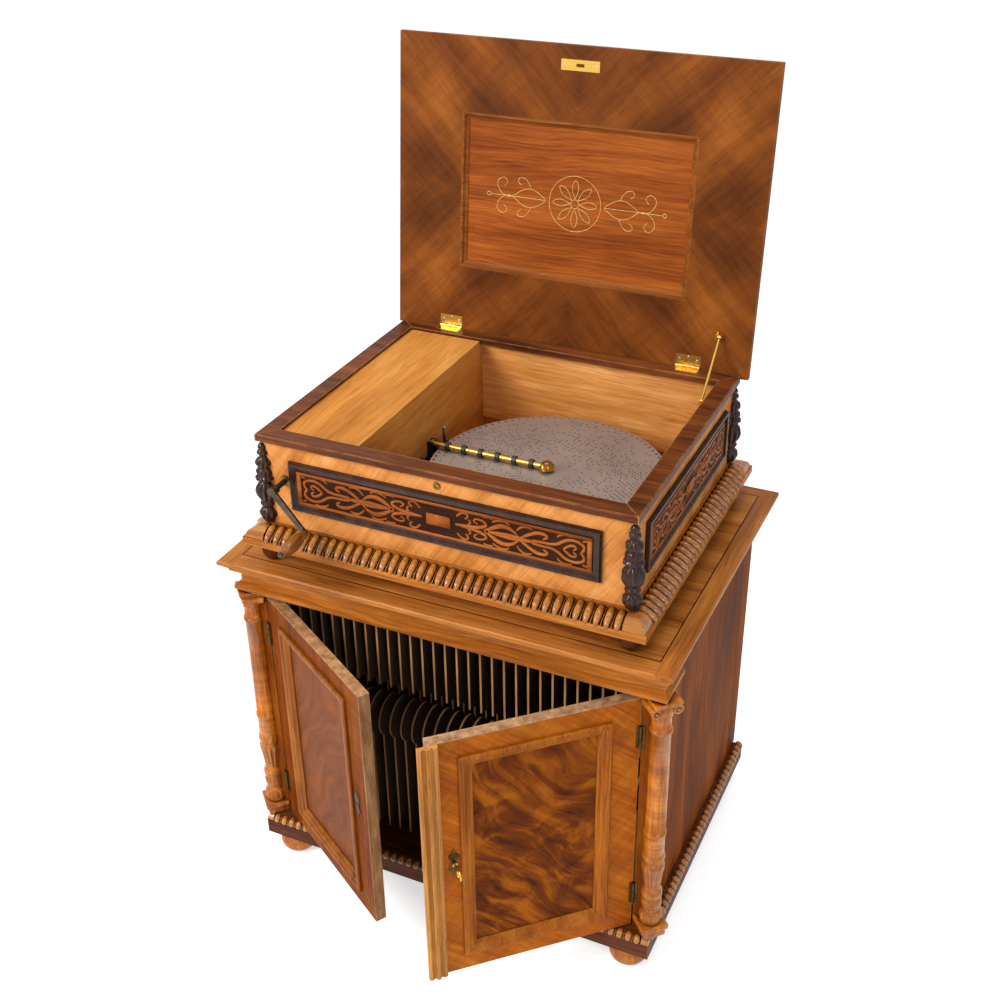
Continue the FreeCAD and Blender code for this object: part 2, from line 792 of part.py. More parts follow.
def door_opening(side):
    """The frame's opening, as low and high corners."""
    low, high = door_edges(side)
    return (low + STILE_WIDTH, DOOR_BOTTOM + RAIL_WIDTH), (high - STILE_WIDTH, DOOR_TOP - RAIL_WIDTH)


def door_panel(side):
    """The figured panel, a little smaller than its opening."""
    low, high = door_opening(side)
    front = -POST_FRONT + DOOR_PANEL_SINK
    gap = SEAT_GAP
    return [box(low[0] + gap, front, low[1] + gap, high[0] - gap, front + DOOR_PANEL_THICK, high[1] - gap)]


def door_moulding(side):
    """The stepped moulding that holds the panel and laps onto the frame."""
    low, high = door_opening(side)
    lap = DOOR_MOULDING_LAP
    inner = lap - DOOR_MOULDING
    sink = -DOOR_PANEL_SINK
    profile = [
        (lap, 0),
        (lap, 5),
        (0.6 * lap, 7),
        (0.0, 7),
        (0.25 * inner, 3.5),
        (0.55 * inner, 3),
        (0.75 * inner, -0.5),
        (inner, 0.6 * sink),
        (inner, sink),
        (-SEAT_GAP, sink),
        (-SEAT_GAP, 0),
    ]
    return mitred_rails(door_point, low, high, profile)


def astragal():
    """The moulded strip that covers the meeting edges, fixed to the right door."""
    low, _high = door_edges(1)
    right = low + ASTRAGAL_LAP
    left = right - ASTRAGAL_WIDTH
    width = ASTRAGAL_WIDTH
    face = -POST_FRONT
    outline = [
        (0.00, 0.0),
        (0.00, 0.60),
        (0.14, 0.90),
        (0.28, 0.60),
        (0.36, 0.60),
        (0.42, 1.00),
        (0.58, 1.00),
        (0.64, 0.60),
        (0.72, 0.60),
        (0.86, 0.90),
        (1.00, 0.60),
        (1.00, 0.0),
    ]
    corners = [Vector(left + a * width, face - t * ASTRAGAL_THICK, DOOR_BOTTOM) for a, t in outline]
    strip = Part.Face(Part.makePolygon(corners + [corners[0]])).extrude(Vector(0, 0, DOOR_TOP - DOOR_BOTTOM))
    relief = box(left - 1, face - SEAT_GAP, 0, low, face + 1, CABINET_HEIGHT)
    return [strip.cut(relief)]


def hinge_levels():
    """Heights of the two hinges on a door."""
    low = DOOR_BOTTOM + DOOR_HINGE_INSET
    high = DOOR_TOP - DOOR_HINGE_INSET - DOOR_HINGE_HEIGHT
    return (low, high)


def post_hinges():
    """The fixed hinge halves on the posts: leaf, outer knuckles and pin."""
    solids = []
    x = DOOR_HINGE_X
    y = DOOR_HINGE_Y
    third = DOOR_HINGE_HEIGHT / 3
    for z in hinge_levels():
        inner = x + KNUCKLE_RADIUS + SEAT_GAP
        leaf = box(inner, -POST_FRONT - LEAF_THICK, z, inner + LEAF_WIDTH, -POST_FRONT, z + 3 * third)
        half = leaf
        for start in (z, z + 2 * third):
            knuckle = rod((x, y, start), (x, y, start + third), KNUCKLE_RADIUS)
            web = box(x, -POST_FRONT - LEAF_THICK, start, inner, -POST_FRONT, start + third)
            half = half.fuse(knuckle).fuse(web)
        half = half.fuse(rod((x, y, z), (x, y, z + 3 * third), HINGE_PIN_RADIUS))
        solids.append(half)
    return solids + [mirrored_x(half) for half in solids]


def door_leaf(side, z):
    """One moving hinge half on a closed door: leaf and middle knuckle."""
    third = DOOR_HINGE_HEIGHT / 3
    x = DOOR_HINGE_X
    y = DOOR_HINGE_Y
    start = z + third + SEAT_GAP
    end = z + 2 * third - SEAT_GAP
    knuckle = rod((x, y, start), (x, y, end), KNUCKLE_RADIUS)
    web = box(x - KNUCKLE_RADIUS, y, start, x, -POST_FRONT, end)
    inner = x - KNUCKLE_RADIUS - SEAT_GAP
    leaf = box(inner - LEAF_WIDTH, -POST_FRONT - LEAF_THICK, z, inner, -POST_FRONT, z + 3 * third)
    tongue = box(inner, -POST_FRONT - LEAF_THICK, start, x, -POST_FRONT, end)
    bore = rod((x, y, z), (x, y, z + 3 * third), HINGE_PIN_RADIUS + HINGE_GAP)
    half = knuckle.fuse(web).fuse(leaf).fuse(tongue).cut(bore)
    return half if side > 0 else mirrored_x(half)


def escutcheon(side):
    """The keyhole plate at the middle of the free stile."""
    low, high = door_edges(side)
    x = low + ESCUTCHEON_INSET if side > 0 else high - ESCUTCHEON_INSET
    z = (DOOR_BOTTOM + DOOR_TOP) / 2
    half_w = ESCUTCHEON_WIDTH / 2
    half_h = ESCUTCHEON_HEIGHT / 2
    waist = [(0, 1.0), (0.4, 0.72), (1.0, 0.45), (0.62, 0.0), (1.0, -0.45), (0.4, -0.72), (0, -1.0)]
    outline = [(x + a * half_w, z + b * half_h) for a, b in waist]
    outline += [(x - a * half_w, z + b * half_h) for a, b in reversed(waist[1:-1])]
    plate = plate_across_y(outline, -POST_FRONT - LEAF_THICK, -POST_FRONT)
    hole = rod((x, -POST_FRONT - 2 * LEAF_THICK, z), (x, 0, z), KEY_RADIUS + 2 * SEAT_GAP)
    return plate.cut(hole)


def door_brass(side):
    """The brass on one door: moving hinge halves and escutcheon."""
    return [door_leaf(side, z) for z in hinge_levels()] + [escutcheon(side)]


def lock_place():
    """X and Z of the right door's keyhole."""
    low, _high = door_edges(1)
    return low + ESCUTCHEON_INSET, (DOOR_BOTTOM + DOOR_TOP) / 2


def door_key():
    """The key in the right door's lock: bow, collar, stem and bit."""
    x, z = lock_place()
    face = -POST_FRONT
    stem = rod((x, face - 24, z), (x, face + DOOR_THICK - 6, z), KEY_RADIUS)
    collar = rod((x, face - 8, z), (x, face - 5, z), 1.7 * KEY_RADIUS)
    bow_y = face - 24 - KEY_BOW_RADIUS
    ring = Part.makeTorus(KEY_BOW_RADIUS, 0.8 * KEY_RADIUS, Vector(x, bow_y, z), Vector(1, 0, 0))
    bit = box(x - 1, face + 9, z - 9, x + 1, face + 15, z)
    return [stem.multiFuse([collar, ring, bit])]


def bolt_bar(left, right, face, z, gap):
    """A bar of the bolt's section, grown by a gap all round."""
    near = face + BOLT_BEHIND_FACE
    low = z + BOLT_LOW
    return box(left, near - gap, low - gap, right, near + BOLT_THICK + gap, low + BOLT_TALL + gap)


def lock_block(face, x, z, wall):
    """The outside of the lock case, or its inside when a wall is given."""
    wide = LOCK_HALF_WIDTH - wall
    near = face + LOCK_SINK + wall
    return box(x - wide, near, z - LOCK_DROP + wall, x + wide, face + DOOR_THICK - wall, z + LOCK_RISE - wall)


def lock_bolt():
    """The sliding bolt in the right door's lock case."""
    x, z = lock_place()
    low, _high = door_edges(1)
    face = -POST_FRONT
    return [bolt_bar(low + 2 * BOLT_TRAVEL / 3, x + BOLT_PAST_KEY, face, z, 0)]


def lock_case():
    """The steel case let into the back of the right door's free stile."""
    x, z = lock_place()
    face = -POST_FRONT
    shell = lock_block(face, x, z, 0)
    room = lock_block(face, x, z, LOCK_SHELL)
    bolt_way = bolt_bar(x - BOLT_WAY, x, face, z, SEAT_GAP)
    key_way = rod((x, face, z), (x, face + 10, z), KEY_RADIUS + 2 * SEAT_GAP)
    return shell.cut(room).cut(bolt_way).cut(key_way)


def right_door_frame():
    """The right frame with the lock's mortise, key hole and bolt way cut in its free stile."""
    left, right, bottom, top = door_frame(1)
    x, z = lock_place()
    face = -POST_FRONT
    mortise = lock_block(face, x, z, 0)
    key_way = rod((x, face - 1, z), (x, face + 8, z), KEY_RADIUS + 2 * SEAT_GAP)
    way_gap = 2 * SEAT_GAP
    bolt_way = bolt_bar(x - BOLT_WAY, x, face, z, way_gap)
    return [left.cut(mortise).cut(key_way).cut(bolt_way), right, bottom, top]


# Music box: base and case

def box_feet():
    """Four bun feet between the cabinet top and the music box."""
    x = HALF_CASE
    y = CASE_FRONT
    places = [(-x, -y), (x, -y), (x, y), (-x, y)]
    return [foot(px, py, CABINET_HEIGHT, BOX_FOOT_RADIUS, BOX_FOOT_HEIGHT) for px, py in places]


def base_moulding():
    """Plain band, hollow for the gadroons and top fillet, mitred round the case."""
    half_x = BASE_WIDTH / 2
    half_y = BASE_DEPTH / 2
    wall_x = half_x - (HALF_CASE - CASE_WALL)
    step = GADROON_STEP + SEAT_GAP
    bed = [(-step - back, BAND_TOP + up) for back, up in quarter_back(gadroon_depth(), GADROON_RISE)]
    profile = [
        (0, BASE_Z),
        (0, BAND_TOP),
        *bed,
        (bed[-1][0], WALL_Z),
        (-wall_x, WALL_Z),
        (-wall_x, BASE_Z),
    ]
    return mitred_rails(flat, (-half_x, -half_y), (half_x, half_y), profile)


def gadroon_depth():
    """How far the gadroons reach in, to the fillet under the walls."""
    return BASE_WIDTH / 2 - HALF_CASE - BASE_FILLET_LAP - GADROON_STEP


def base_gadroons():
    """The gadroon lobes round the front and sides of the base, between the corner blocks."""
    half_x = BASE_WIDTH / 2 - GADROON_STEP
    half_y = BASE_DEPTH / 2 - GADROON_STEP
    corner = BASE_CORNER
    args = (BAND_TOP, GADROON_RISE, gadroon_depth())
    front = lobe_row(front_run, -half_x + corner, half_x - corner, GADROON_PITCH, half_y, *args)
    right = lobe_row(right_run, -half_y + corner, half_y - corner, GADROON_PITCH, half_x, *args)
    left = lobe_row(left_run, -half_y + corner, half_y - corner, GADROON_PITCH, half_x, *args)
    return front + right + left


def corner_blocks():
    """Plain mitred blocks between the runs of lobes, on the plinth and on the base."""
    half = PLINTH_WIDTH / 2
    args = (PLINTH_TOP, PLINTH_BEAD, PLINTH_BEAD)
    blocks = [corner_block(half, PLINTH_FRONT, side, -1, PLINTH_CORNER, *args) for side in (-1, 1)]
    half_x = BASE_WIDTH / 2 - GADROON_STEP
    half_y = BASE_DEPTH / 2 - GADROON_STEP
    args = (BAND_TOP, GADROON_RISE, gadroon_depth())
    for side in (-1, 1):
        for end in (-1, 1):
            blocks.append(corner_block(half_x, half_y, side, end, BASE_CORNER, *args))
    return blocks


def sound_board():
    """The bottom board that carries the movement."""
    x = HALF_CASE - CASE_WALL - SEAT_GAP
    reach = BASE_DEPTH / 2 - (BASE_WIDTH / 2 - (HALF_CASE - CASE_WALL)) - SEAT_GAP
    return [box(-x, -reach, BASE_Z, x, reach, CASE_FLOOR)]


def case_walls():
    """Front, back and two side walls of the case."""
    x = HALF_CASE
    inner = x - CASE_WALL
    front = box(-x, -CASE_FRONT, WALL_Z, x, -CASE_FRONT + CASE_WALL, RIM_Z)
    bush = rod((CRANK_X, -CASE_FRONT - 1, CRANK_Z), (CRANK_X, 0, CRANK_Z), CRANK_SHAFT + 3)
    back = box(-x, CASE_BACK - CASE_WALL, WALL_Z, x, CASE_BACK, RIM_Z)
    side = box(inner, -CASE_FRONT + CASE_WALL, WALL_Z, x, CASE_BACK - CASE_WALL, RIM_Z)
    return [front.cut(bush), back, side, mirrored_x(side)]


def rim_opening():
    """Half width, front and back of the opening inside the rim."""
    return RIM_HALF - RIM_WIDTH, RIM_FRONT - RIM_WIDTH, RIM_BACK - RIM_WIDTH


def case_rim():
    """The dark frame on top of the walls, let in for the hinge leaves."""
    profile = [
        (0, RIM_Z),
        (0, RIM_TOP - 1.5),
        (-1.5, RIM_TOP),
        (-RIM_WIDTH, RIM_TOP),
        (-RIM_WIDTH, RIM_Z),
    ]
    rails = mitred_rails(flat, (-RIM_HALF, -RIM_FRONT), (RIM_HALF, RIM_BACK), profile)
    for side in (-1, 1):
        rails[2] = rails[2].cut(rim_leaf(side))
    return rails


def rim_leaf(side):
    """The hinge leaf that lies in the rim."""
    x0 = side * LID_HINGE_X - LID_HINGE_WIDTH / 2
    return box(x0, RIM_BACK - LID_LEAF_DEPTH, RIM_TOP - LEAF_THICK, x0 + LID_HINGE_WIDTH, RIM_BACK, RIM_TOP)


def compartment_partition():
    """The board beside the disc, and the ledge on the wall that carries the cover."""
    front = -CASE_FRONT + CASE_WALL
    back = CASE_BACK - CASE_WALL
    left = PARTITION_X - PARTITION_THICK
    board = box(left, front, WALL_Z, PARTITION_X, back, RIM_Z)
    low_reach = BASE_DEPTH / 2 - (BASE_WIDTH / 2 - (HALF_CASE - CASE_WALL)) - SEAT_GAP
    board = board.fuse(box(left, -low_reach, CASE_FLOOR, PARTITION_X, low_reach, WALL_Z))
    hole = rod((left - 1, DISC_Y, SPROCKET_Z), (PARTITION_X + 1, DISC_Y, SPROCKET_Z), ARBOR_RADIUS + RUNNING_GAP)
    inner = HALF_CASE - CASE_WALL
    ledge = box(-inner, front, RIM_Z - LEDGE, -inner + LEDGE + RIM_WIDTH - CASE_WALL, back, RIM_Z)
    return [board.cut(hole).removeSplitter(), ledge]


def compartment_cover():
    """The lift-out board over the motor compartment."""
    half, front, back = rim_opening()
    gap = SEAT_GAP
    return [box(-half + gap, -front + gap, RIM_Z, PARTITION_X, back - gap, COVER_TOP)]


def corner_columns():
    """Four turned columns, notched over the corners of the case."""
    r = CORNER_RADIUS
    z = WALL_Z
    h = WALL_HEIGHT
    outline = [
        (0.40 * r, z),
        (0.60 * r, z + 0.05 * h),
        (0.60 * r, z + 0.17 * h, 0.86 * r),
        (0.40 * r, z + 0.20 * h),
        (0.62 * r, z + 0.27 * h),
        (0.62 * r, z + 0.47 * h, 1.0 * r),
        (0.38 * r, z + 0.51 * h),
        (0.70 * r, z + 0.56 * h),
        (0.70 * r, z + 0.62 * h),
        (0.45 * r, z + 0.66 * h),
        (0.45 * r, z + 0.78 * h, 0.74 * r),
        (0.30 * r, z + 0.82 * h),
        (0.42 * r, z + 0.88 * h),
        (0.15 * r, z + 0.97 * h),
    ]
    inside = box(-HALF_CASE, -CASE_FRONT, 0, HALF_CASE, CASE_BACK, RIM_TOP)
    places = [(-1, -CASE_FRONT), (1, -CASE_FRONT), (1, CASE_BACK), (-1, CASE_BACK)]
    return [turned(side * HALF_CASE, y, outline).cut(inside) for side, y in places]


def front_face(u, v, t):
    """Panel coordinates on the front of the case."""
    return Vector(u, -CASE_FRONT - t, v)


def right_face(u, v, t):
    """Panel coordinates on the right side of the case."""
    return Vector(HALF_CASE + t, u, v)


def left_face(u, v, t):
    """Panel coordinates on the left side of the case."""
    return Vector(-HALF_CASE - t, u, v)


def panel_places():
    """Face, half width and middle of the three ornamental panels."""
    middle = (CASE_BACK - CASE_FRONT) / 2
    return (
        (front_face, PANEL_HALF_WIDTH, 0),
        (right_face, SIDE_PANEL_HALF, middle),
        (left_face, SIDE_PANEL_HALF, middle),
    )


def panel_frames():
    """The dark stepped frames round the carved panels."""
    low_z = WALL_Z + PANEL_LIFT
    high_z = low_z + PANEL_HEIGHT
    wide = PANEL_FRAME_WIDTH
    thick = PANEL_FRAME_THICK
    profile = [
        (0, 0),
        (0, 0.50 * thick),
        (-0.10 * wide, 0.50 * thick),
        (-0.10 * wide, 0.80 * thick),
        (-0.17 * wide, thick),
        (-0.36 * wide, thick),
        (-0.43 * wide, 0.82 * thick),
        (-0.52 * wide, 0.82 * thick),
        (-0.52 * wide, 0.64 * thick),
        (-0.70 * wide, 0.58 * thick),
        (-0.70 * wide, 0.46 * thick),
        (-wide, 0.40 * thick),
        (-wide, 0),
    ]
    rails = []
    for place, half, middle in panel_places():
        rails += mitred_rails(place, (middle - half, low_z), (middle + half, high_z), profile)
    return rails


def carved_panels():
    """The ground boards of the carved panels."""
    low_z = WALL_Z + PANEL_LIFT + PANEL_FRAME_WIDTH + SEAT_GAP
    high_z = low_z + PANEL_HEIGHT - 2 * PANEL_FRAME_WIDTH - 2 * SEAT_GAP
    boards = []
    for place, half, middle in panel_places():
        reach = half - PANEL_FRAME_WIDTH - SEAT_GAP
        corners = [
            (middle - reach, low_z),
            (middle + reach, low_z),
            (middle + reach, high_z),
            (middle - reach, high_z),
        ]
        back = [place(u, v, 0) for u, v in corners]
        front = [place(u, v, PANEL_THICK) for u, v in corners]
        boards.append(block_of([back, front]))
    return boards


def front_fittings():
    """Keyhole rosette in the front wall and the crank's rosette and bush."""
    z = RIM_Z - 0.5 * (RIM_Z - WALL_Z - PANEL_LIFT - PANEL_HEIGHT)
    outer = rod((-3, -CASE_FRONT - 2, z), (-3, -CASE_FRONT, z), 7)
    hole = rod((-3, -CASE_FRONT - 3, z), (-3, -CASE_FRONT + 1, z), 3)
    plate = rod((CRANK_X, -CASE_FRONT - 4, CRANK_Z), (CRANK_X, -CASE_FRONT, CRANK_Z), ROSETTE_RADIUS)
    sleeve = rod((CRANK_X, -CASE_FRONT, CRANK_Z), (CRANK_X, -CASE_FRONT + CASE_WALL, CRANK_Z), CRANK_SHAFT + 3)
    bore = rod((CRANK_X, -CASE_FRONT - 9, CRANK_Z), (CRANK_X, 0, CRANK_Z), CRANK_SHAFT + RUNNING_GAP)
    return [outer.cut(hole), plate.fuse(sleeve).cut(bore)]


# Lid, drawn closed and swung open

def lid_point(u, v, t):
    """Panel coordinates on the closed lid's inner face; t points down out of the lid."""
    return Vector(u, v, RIM_TOP + LID_GAP - t)


def lid_panel_corners():
    """Low and high corners of the sunk panel in the closed lid."""
    middle = HINGE_Y - LID_PANEL_FROM_HINGE
    half_x = LID_PANEL_WIDTH / 2
    half_y = LID_PANEL_DEPTH / 2
    return (-half_x, middle - half_y), (half_x, middle + half_y)


def lid_leaf_box(side):
    """The hinge leaf that lies in the closed lid."""
    x0 = side * LID_HINGE_X - LID_HINGE_WIDTH / 2
    low = RIM_TOP + LID_GAP
    return box(x0, HINGE_Y - LID_KNUCKLE - LID_LEAF_DEPTH, low, x0 + LID_HINGE_WIDTH, HINGE_Y, low + LEAF_THICK)


def knuckle_room(side):
    """The notch in the lid for a hinge's knuckles."""
    x0 = side * LID_HINGE_X - LID_HINGE_WIDTH / 2 - SEAT_GAP
    reach = LID_HINGE_WIDTH + 2 * SEAT_GAP
    return rod((x0, HINGE_Y, HINGE_Z), (x0 + reach, HINGE_Y, HINGE_Z), LID_KNUCKLE + 2 * SEAT_GAP)


def lid_frame():
    """Four mitred boards round the panel, with a rounded outer edge."""
    low, high = lid_panel_corners()
    half_x = LID_WIDTH / 2
    back = HINGE_Y + LID_BACK_LAP
    front = back - LID_DEPTH
    bottom = RIM_TOP + LID_GAP
    top = bottom + LID_THICK
    round_in = 0.35 * LID_THICK
    outer = [(-half_x, front), (half_x, front), (half_x, back), (-half_x, back)]
    inner = [low, (high[0], low[1]), high, (low[0], high[1])]
    boards = []
    for i in range(4):
        j = (i + 1) % 4
        sections = []
        for k in (i, j):
            ox, oy = outer[k]
            ix, iy = inner[k]
            share = round_in / abs(ox - ix)
            sections.append([
                Vector(ox, oy, bottom),
                Vector(ox, oy, top - round_in),
                Vector(ox + share * (ix - ox), oy + share * (iy - oy), top),
                Vector(ix, iy, top),
                Vector(ix, iy, bottom),
            ])
        boards.append(block_of(sections))
    for side in (-1, 1):
        boards[2] = boards[2].cut(lid_leaf_box(side)).cut(knuckle_room(side))
    return [turn_about_x(board, -LID_OPEN) for board in boards]


def lid_panel():
    """The sunk panel that closes the lid's frame."""
    low, high = lid_panel_corners()
    bottom = RIM_TOP + LID_GAP
    gap = SEAT_GAP
    panel = box(low[0] + gap, low[1] + gap, bottom + LID_PANEL_SINK, high[0] - gap, high[1] - gap, bottom + LID_THICK)
    return [turn_about_x(panel, -LID_OPEN)]


def lid_moulding():
    """The small moulding round the sunk panel, inside the frame."""
    low, high = lid_panel_corners()
    sink = -LID_PANEL_SINK
    wide = LID_MOULDING
    profile = [
        (-SEAT_GAP, sink),
        (-SEAT_GAP, 0),
        (-0.35 * wide, 0),
        (-0.60 * wide, 0.5 * sink),
        (-wide, 0.8 * sink),
        (-wide, sink),
    ]
    rails = mitred_rails(lid_point, low, high, profile)
    return [turn_about_x(rail, -LID_OPEN) for rail in rails]


def stay_pivot():
    """Y and Z of the stay's pivot on the closed lid."""
    return HINGE_Y - STAY_FROM_HINGE, RIM_TOP + LID_GAP - STAY_DROP


def hinge_half(side, on_lid):
    """One half of a lid hinge, drawn closed: leaf with outer or middle knuckles."""
    x0 = side * LID_HINGE_X - LID_HINGE_WIDTH / 2
    third = LID_HINGE_WIDTH / 3
    if on_lid:
        tongue_y = HINGE_Y - LID_KNUCKLE - 2 * SEAT_GAP
        spans = [(x0 + third + SEAT_GAP, x0 + 2 * third - SEAT_GAP)]
        level = RIM_TOP + LID_GAP
        leaf = box(x0, HINGE_Y - LID_KNUCKLE - LID_LEAF_DEPTH, level, x0 + LID_HINGE_WIDTH, tongue_y,
                   level + LEAF_THICK)
    else:
        leaf = rim_leaf(side)
        spans = [(x0, x0 + third), (x0 + 2 * third, x0 + 3 * third)]
        level = RIM_TOP - LEAF_THICK
        tongue_y = RIM_BACK
    half = leaf
    for start, end in spans:
        half = half.fuse(rod((start, HINGE_Y, HINGE_Z), (end, HINGE_Y, HINGE_Z), LID_KNUCKLE))
        half = half.fuse(box(start, tongue_y, level, end, HINGE_Y, level + LEAF_THICK))
    pin = rod((x0, HINGE_Y, HINGE_Z), (x0 + 3 * third, HINGE_Y, HINGE_Z), LID_PIN)
    if on_lid:
        wide_pin = rod((x0, HINGE_Y, HINGE_Z), (x0 + 3 * third, HINGE_Y, HINGE_Z), LID_PIN + HINGE_GAP)
        return half.cut(wide_pin)
    return half.fuse(pin)


def lid_fittings():
    """Brass on the lid: hinge halves, keeper plate and the bracket with the stay's pin."""
    solids = [hinge_half(side, True) for side in (-1, 1)]
    bottom = RIM_TOP + LID_GAP
    front = HINGE_Y + LID_BACK_LAP - LID_DEPTH
    half = KEEPER_WIDTH / 2
    keeper_y = front + KEEPER_INSET
    keeper = box(-half, keeper_y, bottom - 0.4, half, keeper_y + KEEPER_DEPTH, bottom)
    slot = box(-8, keeper_y + 7, bottom - 1, 8, keeper_y + 13, bottom + 1)
    solids.append(keeper.cut(slot))
    y, z = stay_pivot()
    base = box(STAY_X - 9, y - 9, bottom - LEAF_THICK, STAY_X - 4, y + 9, bottom)
    ear = box(STAY_X - 7, y - 5, z - 5, STAY_X - 4, y + 5, bottom)
    pin = rod((STAY_X - 6, y, z), (STAY_X + 4.5, y, z), STAY_PIN)
    solids.append(base.fuse(ear).fuse(pin))
    return [turn_about_x(solid, -LID_OPEN) for solid in solids]


def rim_fittings():
    """Brass on the case: hinge halves with pins, the lock plate and the rest under the stay's foot."""
    solids = [hinge_half(side, False) for side in (-1, 1)]
    foot_y, foot_z = stay_foot()
    inner = HALF_CASE - CASE_WALL
    seat_top = foot_z - STAY_RADIUS - SEAT_GAP
    seat = box(STAY_X - 3, foot_y - 7, seat_top - 3, inner, foot_y + 7, seat_top)
    flange = box(inner - LEAF_THICK, foot_y - 7, seat_top - 22, inner, foot_y + 7, seat_top)
    solids.append(seat.fuse(flange))
    return solids


def stay_top():
    """Y and Z of the stay's pivot with the lid open."""
    y, z = stay_pivot()
    angle = math.radians(-LID_OPEN)
    dy = y - HINGE_Y
    dz = z - HINGE_Z
    return (
        HINGE_Y + dy * math.cos(angle) - dz * math.sin(angle),
        HINGE_Z + dy * math.sin(angle) + dz * math.cos(angle),
    )


def stay_foot():
    """Y and Z of the stay's lower end with the lid open."""
    y, z = stay_top()
    angle = math.radians(-STAY_ANGLE)
    return y + STAY_LENGTH * math.cos(angle), z + STAY_LENGTH * math.sin(angle)


def lid_stay():
    """The brass stay: an eye on the lid's pin, a round bar and a round foot."""
    top_y, top_z = stay_top()
    foot_y, foot_z = stay_foot()
    x0 = STAY_X - 3
    x1 = STAY_X + 3
    eye = rod((x0, top_y, top_z), (x1, top_y, top_z), 2.4 * STAY_PIN)
    bar = rod((STAY_X, top_y, top_z), (STAY_X, foot_y, foot_z), STAY_RADIUS)
    end = rod((x0, foot_y, foot_z), (x1, foot_y, foot_z), STAY_RADIUS)
    hole = rod((x0 - 1, top_y, top_z), (x1 + 1, top_y, top_z), STAY_PIN + RUNNING_GAP)
    return [eye.multiFuse([bar, end]).cut(hole)]


# Crank

def crank_end():
    """X and Z of the handle's axis."""
    angle = math.radians(CRANK_ARM_ANGLE)
    return CRANK_X + CRANK_ARM_LENGTH * math.cos(angle), CRANK_Z + CRANK_ARM_LENGTH * math.sin(angle)


def crank_front():
    """Y of the arm's inner face."""
    return -CASE_FRONT - CRANK_ARM_STANDOFF


def winding_module():
    """Module that fits the winding pair between the crank and the barrel."""
    distance = math.hypot(BARREL_X - CRANK_X, BARREL_Z - CRANK_Z)
    return 2 * distance / (WINDING_PINION_TEETH + WINDING_WHEEL_TEETH)


def winding_gear_depths():
    """Y range of the winding pair, just in front of the motor's front plate."""
    back = PLATE_FRONT_Y - MOTOR_PLATE / 2 - 4
    return back - GEAR_WIDTH, back


def winding_angle():
    """Direction from the crank's shaft to the barrel, in degrees."""
    return math.degrees(math.atan2(BARREL_Z - CRANK_Z, BARREL_X - CRANK_X))


def crank():
    """Shaft, pinion, hub, flat arm and the pin that the handle turns on."""
    front = crank_front()
    gear_front, gear_back = winding_gear_depths()
    end_x, end_z = crank_end()
    shaft_back = PLATE_FRONT_Y + MOTOR_PLATE / 2
    shaft = rod((CRANK_X, front, CRANK_Z), (CRANK_X, shaft_back, CRANK_Z), CRANK_SHAFT)
    hub = rod((CRANK_X, front - CRANK_ARM_THICK - 2, CRANK_Z), (CRANK_X, front + 10, CRANK_Z), 1.7 * CRANK_SHAFT)
    pinion = gear_on_y((CRANK_X, CRANK_Z), gear_front, gear_back, WINDING_PINION_TEETH, winding_module(),
                       winding_angle())
    angle = math.radians(CRANK_ARM_ANGLE)
    half = 7.0
    side_x = -math.sin(angle) * half
    side_z = math.cos(angle) * half
    corners = [
        (CRANK_X + side_x, CRANK_Z + side_z),
        (end_x + 0.7 * side_x, end_z + 0.7 * side_z),
        (end_x - 0.7 * side_x, end_z - 0.7 * side_z),
        (CRANK_X - side_x, CRANK_Z - side_z),
    ]
    arm = plate_across_y(corners, front - CRANK_ARM_THICK, front)
    boss = rod((end_x, front - CRANK_ARM_THICK - 2, end_z), (end_x, front, end_z), 6.5)
    pin_front = front - CRANK_ARM_THICK - 2 - SEAT_GAP - HANDLE_LENGTH - 2
    pin = rod((end_x, pin_front, end_z), (end_x, front, end_z), HANDLE_PIN)
    head = rod((end_x, pin_front - 2, end_z), (end_x, pin_front, end_z), 1.8 * HANDLE_PIN)
    return [shaft.multiFuse([hub, pinion, arm, boss, pin, head])]


def crank_handle():
    """The turned wooden grip, free on its pin."""
    end_x, end_z = crank_end()
    start = 0.0
    r = HANDLE_RADIUS
    length = HANDLE_LENGTH
    outline = [
        (0.62 * r, start),
        (0.62 * r, start + 0.12 * length),
        (0.80 * r, start + 0.20 * length),
        (0.86 * r, start + 0.80 * length, 1.0 * r),
        (0.50 * r, start + 0.94 * length),
        (0.50 * r, start + length),
    ]
    grip = turned(0, 0, outline)
    grip = grip.cut(rod((0, 0, -1), (0, 0, length + 1), HANDLE_PIN + RUNNING_GAP))
    grip.rotate(Vector(0, 0, 0), Vector(1, 0, 0), 90)
    grip.translate(Vector(end_x, crank_front() - CRANK_ARM_THICK - 2 - SEAT_GAP, end_z))
    return [grip]


# Spring motor

def lay_shaft_place():
    """X and Z of the lay shaft: level with the sprocket, in mesh with the barrel's wheel."""
    distance = GEAR_MODULE * (WHEEL_TEETH + PINION_TEETH) / 2
    drop = BARREL_Z - SPROCKET_Z
    return BARREL_X + math.sqrt(distance ** 2 - drop ** 2), SPROCKET_Z


def governor_place():
    """X and Z of the governor, above the barrel's wheel."""
    return BARREL_X, BARREL_Z + GEAR_MODULE * (WHEEL_TEETH + PINION_TEETH) / 2


def great_wheel_depths():
    """Y range of the barrel's wheel and its pinions."""
    back = PLATE_REAR_Y - 36
    return back - GEAR_WIDTH, back


